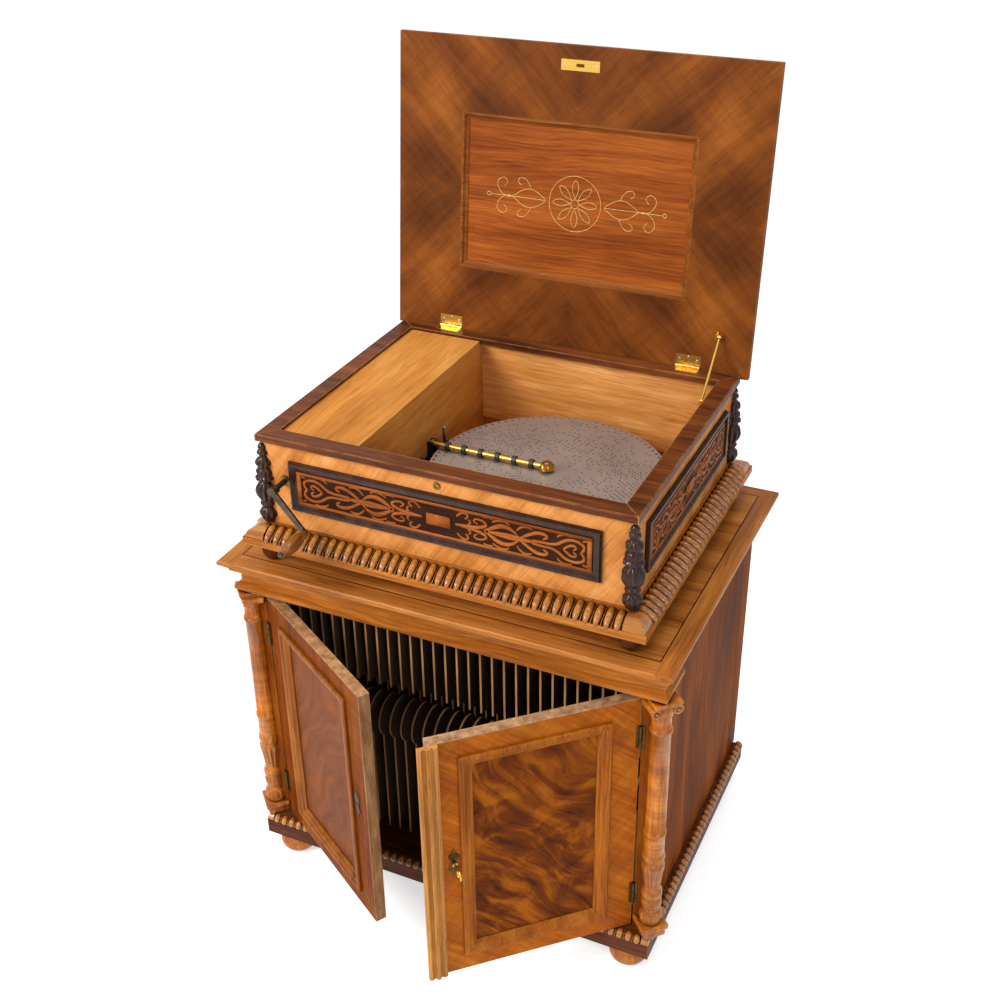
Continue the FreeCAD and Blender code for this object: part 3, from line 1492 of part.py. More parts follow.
def motor_plates():
    """Two iron plates with bores for the arbors, on feet, and four pillars between them."""
    lay_x, lay_z = lay_shaft_place()
    gov_x, gov_z = governor_place()
    left = -HALF_CASE + CASE_WALL + 12
    right = lay_x + 16
    top = gov_z + 14
    outline = [
        (left, CASE_FLOOR),
        (right, CASE_FLOOR),
        (right, lay_z + 24),
        (gov_x + 26, top),
        (left + 8, top),
        (left, CRANK_Z + 12),
    ]
    solids = []
    for middle in (PLATE_FRONT_Y, PLATE_REAR_Y):
        y0 = middle - MOTOR_PLATE / 2
        y1 = middle + MOTOR_PLATE / 2
        plate = plate_across_y(outline, y0, y1)
        bores = [(BARREL_X, BARREL_Z, BARREL_ARBOR), (lay_x, lay_z, ARBOR_RADIUS), (gov_x, gov_z, ARBOR_RADIUS)]
        if middle == PLATE_FRONT_Y:
            bores.append((CRANK_X, CRANK_Z, CRANK_SHAFT))
        for x, z, radius in bores:
            plate = plate.cut(rod((x, y0 - 1, z), (x, y1 + 1, z), radius + RUNNING_GAP))
        solids.append(plate)
    start = PLATE_FRONT_Y + MOTOR_PLATE / 2
    end = PLATE_REAR_Y - MOTOR_PLATE / 2
    for x, z in ((left + 9, CASE_FLOOR + 12), (right - 9, CASE_FLOOR + 12), (left + 14, top - 10)):
        solids.append(rod((x, start, z), (x, end, z), 4))
    return solids


def winding_wheel():
    """The ratchet wheel on the barrel's arbor, turned by the crank's pinion."""
    gear_front, gear_back = winding_gear_depths()
    teeth = WINDING_WHEEL_TEETH
    phase = winding_angle() + 180 + 180 / teeth
    wheel = gear_on_y((BARREL_X, BARREL_Z), gear_front, gear_back, teeth, winding_module(), phase)
    arbor = rod((BARREL_X, gear_front - 3, BARREL_Z), (BARREL_X, PLATE_REAR_Y + MOTOR_PLATE, BARREL_Z), BARREL_ARBOR)
    return [wheel.fuse(arbor)]


def spring_barrel():
    """The spring barrel with its great wheel, running on the winding arbor."""
    wheel_front, wheel_back = great_wheel_depths()
    lay_x, lay_z = lay_shaft_place()
    start = PLATE_FRONT_Y + MOTOR_PLATE / 2 + 4
    drum = rod((BARREL_X, start, BARREL_Z), (BARREL_X, wheel_front - 4, BARREL_Z), BARREL_RADIUS)
    hub = rod((BARREL_X, start, BARREL_Z), (BARREL_X, wheel_back + 3, BARREL_Z), 2 * BARREL_ARBOR)
    to_lay = math.degrees(math.atan2(lay_z - BARREL_Z, lay_x - BARREL_X))
    wheel = gear_on_y((BARREL_X, BARREL_Z), wheel_front, wheel_back, WHEEL_TEETH, GEAR_MODULE, to_lay)
    bore = rod((BARREL_X, start - 1, BARREL_Z), (BARREL_X, wheel_back + 9, BARREL_Z), BARREL_ARBOR + RUNNING_GAP)
    return [drum.multiFuse([hub, wheel]).cut(bore)]


def mitre_sections(centre, axis, away, across, tooth_at):
    """Two matching toothed outlines of a mitre gear, from its large end to its small end.

    The outlines lie square to axis, and a tooth points along away turned by tooth_at degrees.
    """
    sections = []
    for share in (1.0, 0.5):
        section = []
        ring = tooth_ring(MITRE_TEETH, 2 * MITRE_RADIUS / MITRE_TEETH * share, tooth_at)
        for angle, radius in ring:
            point = centre.add(axis * (MITRE_RADIUS * share))
            point = point.add(away * (radius * math.cos(angle)))
            section.append(point.add(across * (radius * math.sin(angle))))
        sections.append(section)
    return sections


def lay_shaft():
    """Arbor with the driven pinion and the first mitre gear."""
    x, z = lay_shaft_place()
    wheel_front, wheel_back = great_wheel_depths()
    to_barrel = math.degrees(math.atan2(BARREL_Z - z, BARREL_X - x))
    pinion = gear_on_y((x, z), wheel_front, wheel_back, PINION_TEETH, GEAR_MODULE,
                       to_barrel + 180 / PINION_TEETH)
    start = PLATE_FRONT_Y - MOTOR_PLATE / 2
    arbor = rod((x, start, z), (x, DISC_Y - MITRE_RADIUS, z), ARBOR_RADIUS)
    apex = Vector(x, DISC_Y, z)
    mitre = block_of(mitre_sections(apex, Vector(0, -1, 0), Vector(1, 0, 0), Vector(0, 0, 1), 0))
    return [arbor.multiFuse([pinion, mitre])]


def sprocket():
    """The sprocket that drives the disc, its arbor and the second mitre gear."""
    x, z = lay_shaft_place()
    apex = Vector(x, DISC_Y, z)
    half_tooth = 180 / MITRE_TEETH
    mitre = block_of(mitre_sections(apex, Vector(1, 0, 0), Vector(0, -1, 0), Vector(0, 0, 1), half_tooth))
    arbor = rod((x + MITRE_RADIUS * 0.5, DISC_Y, z), (SPROCKET_X + 5, DISC_Y, z), ARBOR_RADIUS)
    tip = SPROCKET_PITCH + 3.0
    root = SPROCKET_PITCH - 4.5
    pitch = 2 * math.pi / SPROCKET_TEETH
    points = []
    for i in range(SPROCKET_TEETH):
        middle = math.pi / 2 + i * pitch
        for turn, radius in ((-0.20, root), (-0.055, tip), (0.055, tip), (0.20, root)):
            angle = middle + turn * pitch
            points.append((DISC_Y + radius * math.cos(angle), z + radius * math.sin(angle)))
    wheel = plate_across_x(points, SPROCKET_X - 1.5, SPROCKET_X + 1.5)
    return [arbor.multiFuse([mitre, wheel])]


def governor():
    """Arbor, pinion and two fan blades that brake the train."""
    x, z = governor_place()
    wheel_front, wheel_back = great_wheel_depths()
    lay_x, lay_z = lay_shaft_place()
    past_tooth = (90 - math.degrees(math.atan2(lay_z - BARREL_Z, lay_x - BARREL_X))) % (360 / WHEEL_TEETH)
    phase = -90 + 180 / PINION_TEETH + past_tooth * WHEEL_TEETH / PINION_TEETH
    pinion = gear_on_y((x, z), wheel_front, wheel_back, PINION_TEETH, GEAR_MODULE, phase)
    start = PLATE_FRONT_Y - MOTOR_PLATE / 2
    arbor = rod((x, start, z), (x, PLATE_REAR_Y + MOTOR_PLATE / 2, z), ARBOR_RADIUS)
    fan = box(x - FAN_RADIUS, wheel_back + 8, z - 1, x + FAN_RADIUS, PLATE_REAR_Y - MOTOR_PLATE / 2 - 6, z + 1)
    return [arbor.multiFuse([pinion, fan])]


# Playing work

def bedplate():
    """The iron bed under the disc, on four posts, with the bar's post and the spindle."""
    x0 = BEDPLATE_LEFT
    x1 = BEDPLATE_RIGHT
    y0 = BEDPLATE_FRONT
    y1 = BEDPLATE_BACK
    top = BEDPLATE_TOP
    plate = box(x0, y0, BEDPLATE_Z, x1, y1, top)
    reach = SPROCKET_PITCH + 7
    slot = box(SPROCKET_X - 5, DISC_Y - reach, BEDPLATE_Z - 1, SPROCKET_X + 5, DISC_Y + reach, top + 1)
    plate = plate.cut(slot)
    inset = 16
    posts = []
    for x in (x0 + inset, x1 - inset):
        for y in (y0 + inset, y1 - inset):
            posts.append(rod((x, y, CASE_FLOOR), (x, y, BEDPLATE_Z), BED_POST_RADIUS))
    spindle = rod((DISC_X, DISC_Y, top), (DISC_X, DISC_Y, BAR_Z - 2), SPINDLE_RADIUS)
    collar = rod((DISC_X, DISC_Y, top), (DISC_X, DISC_Y, DISC_UNDER - SEAT_GAP), 2.4 * SPINDLE_RADIUS)
    block = box(BAR_PIVOT_X - 10, DISC_Y - 12, top, BAR_PIVOT_X + 8, DISC_Y + 12, SPROCKET_Z + 10)
    way = rod((BAR_PIVOT_X - 20, DISC_Y, SPROCKET_Z), (BAR_PIVOT_X + 20, DISC_Y, SPROCKET_Z), ARBOR_RADIUS + RUNNING_GAP)
    ears = []
    for side in (-1, 1):
        inner = DISC_Y + side * (BAR_RADIUS + 2 * SEAT_GAP)
        outer = inner + side * 4
        low_y, high_y = sorted((inner, outer))
        ears.append(box(BAR_PIVOT_X - 6, low_y, SPROCKET_Z + 9, BAR_PIVOT_X + 6, high_y, BAR_Z + 6))
    pin = rod((BAR_PIVOT_X, DISC_Y - 8, BAR_Z), (BAR_PIVOT_X, DISC_Y + 8, BAR_Z), 2)
    star_seats = []
    for x in star_seat_places():
        star_seats.append(box(x - 2, DISC_Y - 5, top, x + 2, DISC_Y + 5, star_z() + 5))
    axle = rod((star_seat_places()[0], DISC_Y, star_z()), (star_seat_places()[1], DISC_Y, star_z()), 2)
    stand = block.multiFuse(ears).cut(way).fuse(pin)
    works = plate.multiFuse(posts + [spindle, collar, stand] + star_seats + [axle])
    return [works.removeSplitter()]


def star_z():
    """Height of the star wheels' axle, so that their points stay just under the disc."""
    return DISC_UNDER - 1.0 - STAR_RADIUS


def star_seat_places():
    """X of the two brackets that carry the star wheels' axle."""
    first = STAR_FIRST_X - 6
    return first, STAR_FIRST_X + (STAR_COUNT - 1) * STAR_PITCH + 6


def star_wheels():
    """The star wheels that carry the disc's plucks down to the comb."""
    tube_start = star_seat_places()[0] + 2 + SEAT_GAP
    tube_end = star_seat_places()[1] - 2 - SEAT_GAP
    tube = rod((tube_start, DISC_Y, star_z()), (tube_end, DISC_Y, star_z()), 3.5)
    wheels = []
    for i in range(STAR_COUNT):
        x = STAR_FIRST_X + i * STAR_PITCH
        points = []
        for k in range(16):
            radius = STAR_RADIUS if k % 2 == 0 else 0.62 * STAR_RADIUS
            angle = math.pi * k / 8 + math.pi / 8
            points.append((DISC_Y + radius * math.cos(angle), star_z() + radius * math.sin(angle)))
        wheels.append(plate_across_x(points, x - 1, x + 1))
    whole = tube.multiFuse(wheels)
    bore = rod((tube_start - 1, DISC_Y, star_z()), (tube_end + 1, DISC_Y, star_z()), 2 + RUNNING_GAP)
    return [whole.cut(bore)]


def combs():
    """Two steel combs on iron rests, one each side of the star wheels."""
    solids = []
    x0 = star_seat_places()[0] + 4
    x1 = star_seat_places()[1] - 4
    level = star_z() - 1
    tip = STAR_RADIUS + 2
    for side in (-1, 1):
        near, far = sorted((DISC_Y + side * (tip + 34), DISC_Y + side * (tip + 54)))
        solids.append(box(x0, near, BEDPLATE_TOP, x1, far, level))
        low_y, high_y = sorted((DISC_Y + side * tip, DISC_Y + side * (tip + 54)))
        comb = box(x0, low_y, level, x1, high_y, level + 3)
        step = (x1 - x0) / COMB_TEETH
        for i in range(1, COMB_TEETH):
            edge = x0 + i * step
            cut_y, cut_end = sorted((DISC_Y + side * (tip - 1), DISC_Y + side * (tip + 34)))
            comb = comb.cut(box(edge - 0.6, cut_y, level - 1, edge + 0.6, cut_end, level + 4))
        solids.append(comb)
    return solids


def tune_disc():
    """The steel disc with its ring of drive holes."""
    centre = Vector(DISC_X, DISC_Y, DISC_UNDER)
    outer = Part.Wire(Part.makeCircle(DISC_RADIUS, centre))
    holes = [Part.Wire(Part.makeCircle(SPINDLE_RADIUS + RUNNING_GAP, centre))]
    for i in range(HOLE_COUNT):
        angle = math.pi + 2 * math.pi * i / HOLE_COUNT
        way = Vector(math.cos(angle), math.sin(angle), 0)
        across = Vector(-way.y, way.x, 0)
        middle = centre.add(way * HOLE_CIRCLE)
        corners = [
            middle.add(way * HOLE_HALF),
            middle.add(across * HOLE_HALF),
            middle.sub(way * HOLE_HALF),
            middle.sub(across * HOLE_HALF),
        ]
        holes.append(Part.makePolygon(corners + [corners[0]]))
    face = Part.Face([outer] + holes)
    return [face.extrude(Vector(0, 0, DISC_THICK))]


def pressure_bar():
    """The brass bar that holds the disc down, from its pivot to the ring over the spindle."""
    eye = rod((BAR_PIVOT_X, DISC_Y - BAR_RADIUS, BAR_Z), (BAR_PIVOT_X, DISC_Y + BAR_RADIUS, BAR_Z), 6)
    shaft = rod((BAR_PIVOT_X + 4, DISC_Y, BAR_Z), (DISC_X - LATCH_RADIUS, DISC_Y, BAR_Z), BAR_RADIUS)
    ring = rod((DISC_X, DISC_Y, BAR_Z - 3), (DISC_X, DISC_Y, BAR_Z + 3), LATCH_RADIUS + 3)
    bore = rod((DISC_X, DISC_Y, BAR_Z - 9), (DISC_X, DISC_Y, BAR_Z + 9), latch_neck() + RUNNING_GAP)
    hole = rod((BAR_PIVOT_X, DISC_Y - 9, BAR_Z), (BAR_PIVOT_X, DISC_Y + 9, BAR_Z), 2 + RUNNING_GAP)
    return [shaft.multiFuse([eye, ring]).cut(bore).cut(hole)]


def latch_neck():
    """Radius of the latch's neck in the bar's ring."""
    return LATCH_RADIUS - 4


def centre_latch():
    """The knurled latch that turns in the bar's ring and grips the spindle."""
    neck = rod((DISC_X, DISC_Y, BAR_Z - 3), (DISC_X, DISC_Y, BAR_Z + 4), latch_neck())
    points = []
    teeth = 14
    for i in range(2 * teeth):
        radius = LATCH_RADIUS if i % 2 == 0 else 0.88 * LATCH_RADIUS
        angle = math.pi * i / teeth
        points.append(Vector(DISC_X + radius * math.cos(angle), DISC_Y + radius * math.sin(angle), BAR_Z + 3 + SEAT_GAP))
    head = Part.Face(Part.makePolygon(points + [points[0]])).extrude(Vector(0, 0, 5))
    well = rod((DISC_X, DISC_Y, BAR_Z - 9), (DISC_X, DISC_Y, BAR_Z - 1), SPINDLE_RADIUS + 0.6)
    return [neck.fuse(head).cut(well)]


def bar_rollers():
    """The rollers that press the disc onto the star wheels."""
    rollers = []
    for i in range(ROLLER_COUNT):
        x = ROLLER_FIRST_X + i * ROLLER_PITCH
        ring = rod((x - ROLLER_WIDTH / 2, DISC_Y, BAR_Z), (x + ROLLER_WIDTH / 2, DISC_Y, BAR_Z), ROLLER_RADIUS)
        bore = rod((x - ROLLER_WIDTH, DISC_Y, BAR_Z), (x + ROLLER_WIDTH, DISC_Y, BAR_Z), BAR_RADIUS + RUNNING_GAP)
        rollers.append(ring.cut(bore))
    return rollers


def start_lever():
    """The steel start pin that stands beside the disc."""
    bottom = BEDPLATE_TOP + SEAT_GAP
    outline = [
        (LEVER_RADIUS, bottom),
        (LEVER_RADIUS, bottom + LEVER_HEIGHT - 2),
        (0.6 * LEVER_RADIUS, bottom + LEVER_HEIGHT),
    ]
    return [turned(LEVER_X, LEVER_Y, outline)]


NODES = {
    "cabinet_feet": cabinet_feet,
    "plinth_frame": plinth_frame,
    "plinth_beads": plinth_beads,
    "cabinet_sides": cabinet_sides,
    "cabinet_back": cabinet_back,
    "cabinet_shelves": cabinet_shelves,
    "disc_dividers": disc_dividers,
    "cabinet_top": cabinet_top,
    "cabinet_cornice": cabinet_cornice,
    "cabinet_columns": cabinet_columns,
    "corner_posts": corner_posts,
    "post_hinges": post_hinges,
    "left_door_frame": lambda: [door_swing(-1, s) for s in door_frame(-1)],
    "left_door_panel": lambda: [door_swing(-1, s) for s in door_panel(-1)],
    "left_door_moulding": lambda: [door_swing(-1, s) for s in door_moulding(-1)],
    "left_door_brass": lambda: [door_swing(-1, s) for s in door_brass(-1)],
    "right_door_frame": lambda: [door_swing(1, s) for s in right_door_frame()],
    "right_door_panel": lambda: [door_swing(1, s) for s in door_panel(1)],
    "right_door_moulding": lambda: [door_swing(1, s) for s in door_moulding(1)],
    "right_door_brass": lambda: [door_swing(1, s) for s in door_brass(1)],
    "door_astragal": lambda: [door_swing(1, s) for s in astragal()],
    "door_lock_case": lambda: [door_swing(1, lock_case())],
    "door_lock_bolt": lambda: [door_swing(1, s) for s in lock_bolt()],
    "door_key": lambda: [door_swing(1, s) for s in door_key()],
    "box_feet": box_feet,
    "base_moulding": base_moulding,
    "base_gadroons": base_gadroons,
    "corner_blocks": corner_blocks,
    "sound_board": sound_board,
    "case_walls": case_walls,
    "case_rim": case_rim,
    "compartment_partition": compartment_partition,
    "compartment_cover": compartment_cover,
    "corner_columns": corner_columns,
    "panel_frames": panel_frames,
    "carved_panels": carved_panels,
    "front_fittings": front_fittings,
    "rim_fittings": rim_fittings,
    "lid_frame": lid_frame,
    "lid_panel": lid_panel,
    "lid_moulding": lid_moulding,
    "lid_fittings": lid_fittings,
    "lid_stay": lid_stay,
    "crank": crank,
    "crank_handle": crank_handle,
    "motor_plates": motor_plates,
    "winding_wheel": winding_wheel,
    "spring_barrel": spring_barrel,
    "lay_shaft": lay_shaft,
    "sprocket": sprocket,
    "governor": governor,
    "bedplate": bedplate,
    "star_wheels": star_wheels,
    "combs": combs,
    "tune_disc": tune_disc,
    "pressure_bar": pressure_bar,
    "centre_latch": centre_latch,
    "bar_rollers": bar_rollers,
    "start_lever": start_lever,
}


def main():
    """Write one file for each sub-part."""
    os.makedirs("parts", exist_ok=True)
    for name, make in NODES.items():
        solids = make()
        shape = solids[0] if len(solids) == 1 else Part.makeCompound(solids)
        shape.exportStep("parts/" + name + ".step")


main()
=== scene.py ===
"""Dresses the disc music box and its cabinet: timber, veneers, carving, brass and steel."""

import math

import bmesh
import bpy
from mathutils import Matrix, Vector


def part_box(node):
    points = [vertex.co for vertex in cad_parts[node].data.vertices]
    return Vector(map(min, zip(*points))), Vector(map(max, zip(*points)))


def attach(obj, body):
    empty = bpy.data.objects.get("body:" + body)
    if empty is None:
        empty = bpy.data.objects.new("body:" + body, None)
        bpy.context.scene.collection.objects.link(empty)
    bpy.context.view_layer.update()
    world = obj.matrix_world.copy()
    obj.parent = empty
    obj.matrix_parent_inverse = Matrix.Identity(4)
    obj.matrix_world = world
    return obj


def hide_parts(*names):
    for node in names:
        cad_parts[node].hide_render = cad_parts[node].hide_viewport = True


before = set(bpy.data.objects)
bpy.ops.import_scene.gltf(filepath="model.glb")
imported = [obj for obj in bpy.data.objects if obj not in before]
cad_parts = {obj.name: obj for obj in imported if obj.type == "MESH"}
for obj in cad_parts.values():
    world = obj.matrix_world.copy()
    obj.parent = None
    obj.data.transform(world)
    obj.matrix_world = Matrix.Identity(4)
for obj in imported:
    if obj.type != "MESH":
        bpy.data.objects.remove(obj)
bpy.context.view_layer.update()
scene = bpy.context.scene

# Camera
CAMERA_PLACE = (0.960168, -2.075883, 2.142621)
CAMERA_TURN = (59.63822, 0.75490, 24.73858)
CAMERA_LENS = 49.44

# Rest angles, in degrees
LID_OPEN = 96.2
LEFT_DOOR_OPEN = -32.0
RIGHT_DOOR_OPEN = 43.0

# Places and sizes, in metres
LID_HINGE = (0.0, 0.287, 1.0103)
LID_MIDDLE = 0.283
DOOR_HINGE_X = 0.384
DOOR_HINGE_Y = -0.287
BASE_X = 0.392
BASE_Y = 0.316
BASE_CORNER = 0.040
BAND_TOP = 0.804
LOBE_DEPTH = 0.032
LOBE_RISE = 0.020
LOBE_PITCH = 0.0184
PLINTH_X = 0.4275
PLINTH_FRONT = -0.313
PLINTH_BACK = 0.324
PLINTH_CORNER = 0.015
BEAD_BOTTOM = 0.086
BEAD_SIZE = 0.012
BEAD_PITCH = 0.0175
DISC = (0.090, -0.018, 0.895)
CASE_HALF = 0.356
CASE_FRONT = -0.280
CASE_BACK = 0.275
PANEL_Z = 0.915
PANEL_FACE = 0.284
COLUMN_X = 0.419
COLUMN_Y = -0.282
KEEPER_SCREW = (0.032, -0.542)
HINGE_X = 0.257
HINGE_SCREW_SPREAD = 0.018
RIM_SCREW_Z = 1.0099
SCREW_RADIUS = 0.0028
LATCH_SCREW_RADIUS = 0.0042
LATCH_SCREW_Z = 0.9133


# Helpers

def tone(code):
    """A linear colour from an eight-bit one, such as 8c5028."""
    parts = [int(code[i:i + 2], 16) / 255 for i in (0, 2, 4)]
    return tuple(c / 12.92 if c <= 0.04045 else ((c + 0.055) / 1.055) ** 2.4 for c in parts) + (1.0,)


def turned_matrix(degrees, axis):
    """A rotation matrix."""
    return Matrix.Rotation(math.radians(degrees), 4, axis)


def door_place(side):
    """From a closed door's own corner at its hinge to its open place."""
    angle = RIGHT_DOOR_OPEN if side > 0 else LEFT_DOOR_OPEN
    return Matrix.Translation((side * DOOR_HINGE_X, DOOR_HINGE_Y, 0)) @ turned_matrix(angle, "Z")


def lid_place():
    """From the closed lid's own corner at its hinge to its open place."""
    return Matrix.Translation(LID_HINGE) @ turned_matrix(-LID_OPEN, "X")


def new_piece(name, mesh, body, material, smooth=True):
    """A finished piece that rides on a body."""
    piece = bpy.data.objects.new(name, mesh)
    scene.collection.objects.link(piece)
    mesh.materials.clear()
    mesh.materials.append(material)
    for face in mesh.polygons:
        face.use_smooth = smooth
    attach(piece, body)
    return piece


def mesh_of(name, form):
    """Close a bmesh into a mesh with its faces outwards."""
    bmesh.ops.remove_doubles(form, verts=form.verts, dist=1e-6)
    bmesh.ops.recalc_face_normals(form, faces=form.faces)
    mesh = bpy.data.meshes.new(name)
    form.to_mesh(mesh)
    form.free()
    return mesh


def dress(material, *names):
    """Give CAD nodes a finish."""
    for name in names:
        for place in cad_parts[name].material_slots:
            place.material = material


# Node tools

def add(tree, kind, inputs=None, **settings):
    """One shader node, with its settings and inputs."""
    made = tree.nodes.new(kind)
    for key, value in settings.items():
        setattr(made, key, value)
    for key, value in (inputs or {}).items():
        if isinstance(value, bpy.types.NodeSocket):
            tree.links.new(value, made.inputs[key])
        else:
            made.inputs[key].default_value = value
    return made


def calc(tree, operation, *values):
    """The result of one sum."""
    inputs = dict(enumerate(values))
    return add(tree, "ShaderNodeMath", inputs, operation=operation).outputs[0]


def ramp(tree, factor, *stops):
    """A colour ramp from (position, colour) stops."""
    made = add(tree, "ShaderNodeValToRGB", {0: factor})
    elements = made.color_ramp.elements
    while len(elements) < len(stops):
        elements.new(0.5)
    for element, (position, colour) in zip(elements, stops):
        element.position = position
        element.color = colour
    return made.outputs[0]


def blend_colour(tree, factor, first, second, way="MIX"):
    """Two colours mixed."""
    made = add(tree, "ShaderNodeMix", {0: factor, 6: first, 7: second}, data_type="RGBA", blend_type=way)
    return made.outputs[2]


def noise(tree, vector, scale, detail=3.0, rough=0.5, distortion=0.0):
    """Noise from 0 to 1."""
    values = {"Vector": vector, "Scale": scale, "Detail": detail, "Roughness": rough,
              "Distortion": distortion}
    return add(tree, "ShaderNodeTexNoise", values).outputs[0]


def mapped(tree, vector, move=(0, 0, 0), turn=(0, 0, 0), size=(1, 1, 1)):
    """A vector moved, turned in degrees and stretched."""
    angles = [math.radians(a) for a in turn]
    values = {"Vector": vector, "Location": move, "Rotation": angles, "Scale": size}
    return add(tree, "ShaderNodeMapping", values).outputs[0]


def new_finish(name, turns=()):
    """A material with its tree, its shader and object coordinates turned step by step."""
    material = bpy.data.materials.new(name)
    material.use_nodes = True
    tree = material.node_tree
    shader = tree.nodes["Principled BSDF"]
    vector = add(tree, "ShaderNodeTexCoord").outputs["Object"]
    for move, turn in turns:
        vector = mapped(tree, vector, move=move, turn=turn)
    return material, tree, shader, vector


def folded(tree, vector):
    """Book-match: both flat coordinates are mirrored about the middle, and the grain runs to it."""
    parts = add(tree, "ShaderNodeSeparateXYZ", {0: vector})
    across = calc(tree, "ABSOLUTE", parts.outputs[0])
    along = calc(tree, "ABSOLUTE", parts.outputs[1])
    joined = add(tree, "ShaderNodeCombineXYZ", {0: across, 1: along, 2: parts.outputs[2]}).outputs[0]
    return mapped(tree, joined, turn=(0, 0, -45))


def edge_wear(tree, vector, reach, amount):
    """Where edges are rubbed: the bevelled normal leaves the true one."""
    rounded = add(tree, "ShaderNodeBevel", {"Radius": reach}, samples=4).outputs[0]
    true = add(tree, "ShaderNodeNewGeometry").outputs["Normal"]
    same = add(tree, "ShaderNodeVectorMath", {0: rounded, 1: true}, operation="DOT_PRODUCT").outputs["Value"]
    away = calc(tree, "SUBTRACT", 1.0, same)
    patch = noise(tree, vector, 26.0, 4.0, 0.65)
    rub = calc(tree, "MULTIPLY", away, calc(tree, "MULTIPLY_ADD", patch, 12.0, -4.0))
    return calc(tree, "MULTIPLY", add(tree, "ShaderNodeClamp", {0: rub}).outputs[0], amount)


def cavity(tree, reach):
    """How open a place is, read by ambient occlusion to paint shade: low in corners and grooves."""
    return add(tree, "ShaderNodeAmbientOcclusion", {"Distance": reach}, samples=6).outputs["AO"]


def inside_of(tree, value, low, high):
    """One where a value lies between two limits."""
    above = calc(tree, "GREATER_THAN", value, low)
    return calc(tree, "MULTIPLY", above, calc(tree, "LESS_THAN", value, high))


def wood(tree, vector, tones, grain=9.0, streak=0.5, mottle=0.4, figure=0.0):
    """Colour, cloudiness and height of timber with its grain along X."""
    dark, middle, pale = [tone(code) for code in tones]
    bent = noise(tree, mapped(tree, vector, size=(0.8, 2.2, 2.2)), 3.0, 2.0)
    push = add(tree, "ShaderNodeVectorMath", {0: vector, 1: add(tree, "ShaderNodeCombineXYZ", {
        1: calc(tree, "MULTIPLY", bent, 0.06),
        2: calc(tree, "MULTIPLY", bent, 0.04),
    }).outputs[0]}, operation="ADD").outputs[0]
    broad = noise(tree, mapped(tree, push, size=(0.9, grain, grain)), 2.6, 4.0, 0.55, 0.4)
    thin = noise(tree, mapped(tree, push, size=(2.2, 7.0 * grain, 7.0 * grain)), 3.0, 4.0, 0.6)
    pores = noise(tree, mapped(tree, vector, size=(18.0, 420.0, 420.0)), 1.0, 2.0, 0.6)
    cloud = noise(tree, vector, 4.5, 3.0, 0.5, 0.6)
    tint = ramp(tree, broad, (0.30, dark), (0.50, middle), (0.70, pale))
    lines = ramp(tree, thin, (0.36, dark), (0.56, middle), (0.72, pale))
    colour = blend_colour(tree, streak, tint, lines)
    clouds = ramp(tree, cloud, (0.30, (0.58, 0.52, 0.48, 1)), (0.62, (1.14, 1.12, 1.08, 1)))
    colour = blend_colour(tree, mottle, colour, clouds, "MULTIPLY")
    if figure:
        ripple = noise(tree, mapped(tree, vector, size=(30.0, 2.0, 2.0)), 2.2, 2.0, 0.5, 0.8)
        bars = ramp(tree, ripple, (0.35, (0.68, 0.62, 0.56, 1)), (0.65, (1.16, 1.13, 1.08, 1)))
        colour = blend_colour(tree, figure, colour, bars, "MULTIPLY")
    dots = ramp(tree, pores, (0.30, (0.50, 0.44, 0.40, 1)), (0.48, (1, 1, 1, 1)))
    colour = blend_colour(tree, 0.5, colour, dots, "MULTIPLY")
    return colour, cloud, calc(tree, "MULTIPLY_ADD", thin, 0.5, pores)


def polish(tree, shader, colour, cloud, height, gloss, coat, shine=0.08):
    """Join a timber's colour and surface to its shader."""
    tree.links.new(colour, shader.inputs["Base Color"])
    tree.links.new(calc(tree, "MULTIPLY_ADD", cloud, 0.22, gloss - 0.08), shader.inputs["Roughness"])
    bump = add(tree, "ShaderNodeBump", {"Strength": 0.10, "Distance": 0.0005, "Height": height})
    tree.links.new(bump.outputs[0], shader.inputs["Normal"])
    shader.inputs["Specular IOR Level"].default_value = shine
    shader.inputs["Coat Weight"].default_value = coat
    shader.inputs["Coat Roughness"].default_value = 0.10


def timber(name, tones, turns=(), fold=False, gloss=0.40, coat=0.03, wear=0.4, worn="c08850", painted_recess_shade=0.0,
           recess_reach=0.008, shine=0.08, **grain):
    """Polished timber with rubbed edges and, on carved work, painted shade that darkens its corners and
    grooves.
    """
    material, tree, shader, vector = new_finish(name, turns)
    if fold:
        vector = folded(tree, vector)
    colour, cloud, height = wood(tree, vector, tones, **grain)
    if painted_recess_shade:
        # Painted shade: the colour is multiplied darker where ambient occlusion finds corners, grooves and
        # recesses.
        open_share = cavity(tree, recess_reach)
        dirt_and_painted_shade = ramp(tree, open_share, (0.35, (0.10, 0.07, 0.06, 1)), (0.80, (1, 1, 1, 1)))
        colour = blend_colour(tree, painted_recess_shade, colour, dirt_and_painted_shade, "MULTIPLY")
    if wear:
        colour = blend_colour(tree, edge_wear(tree, vector, 0.003, wear), colour, tone(worn))
    polish(tree, shader, colour, cloud, height, gloss, coat, shine)
    return material


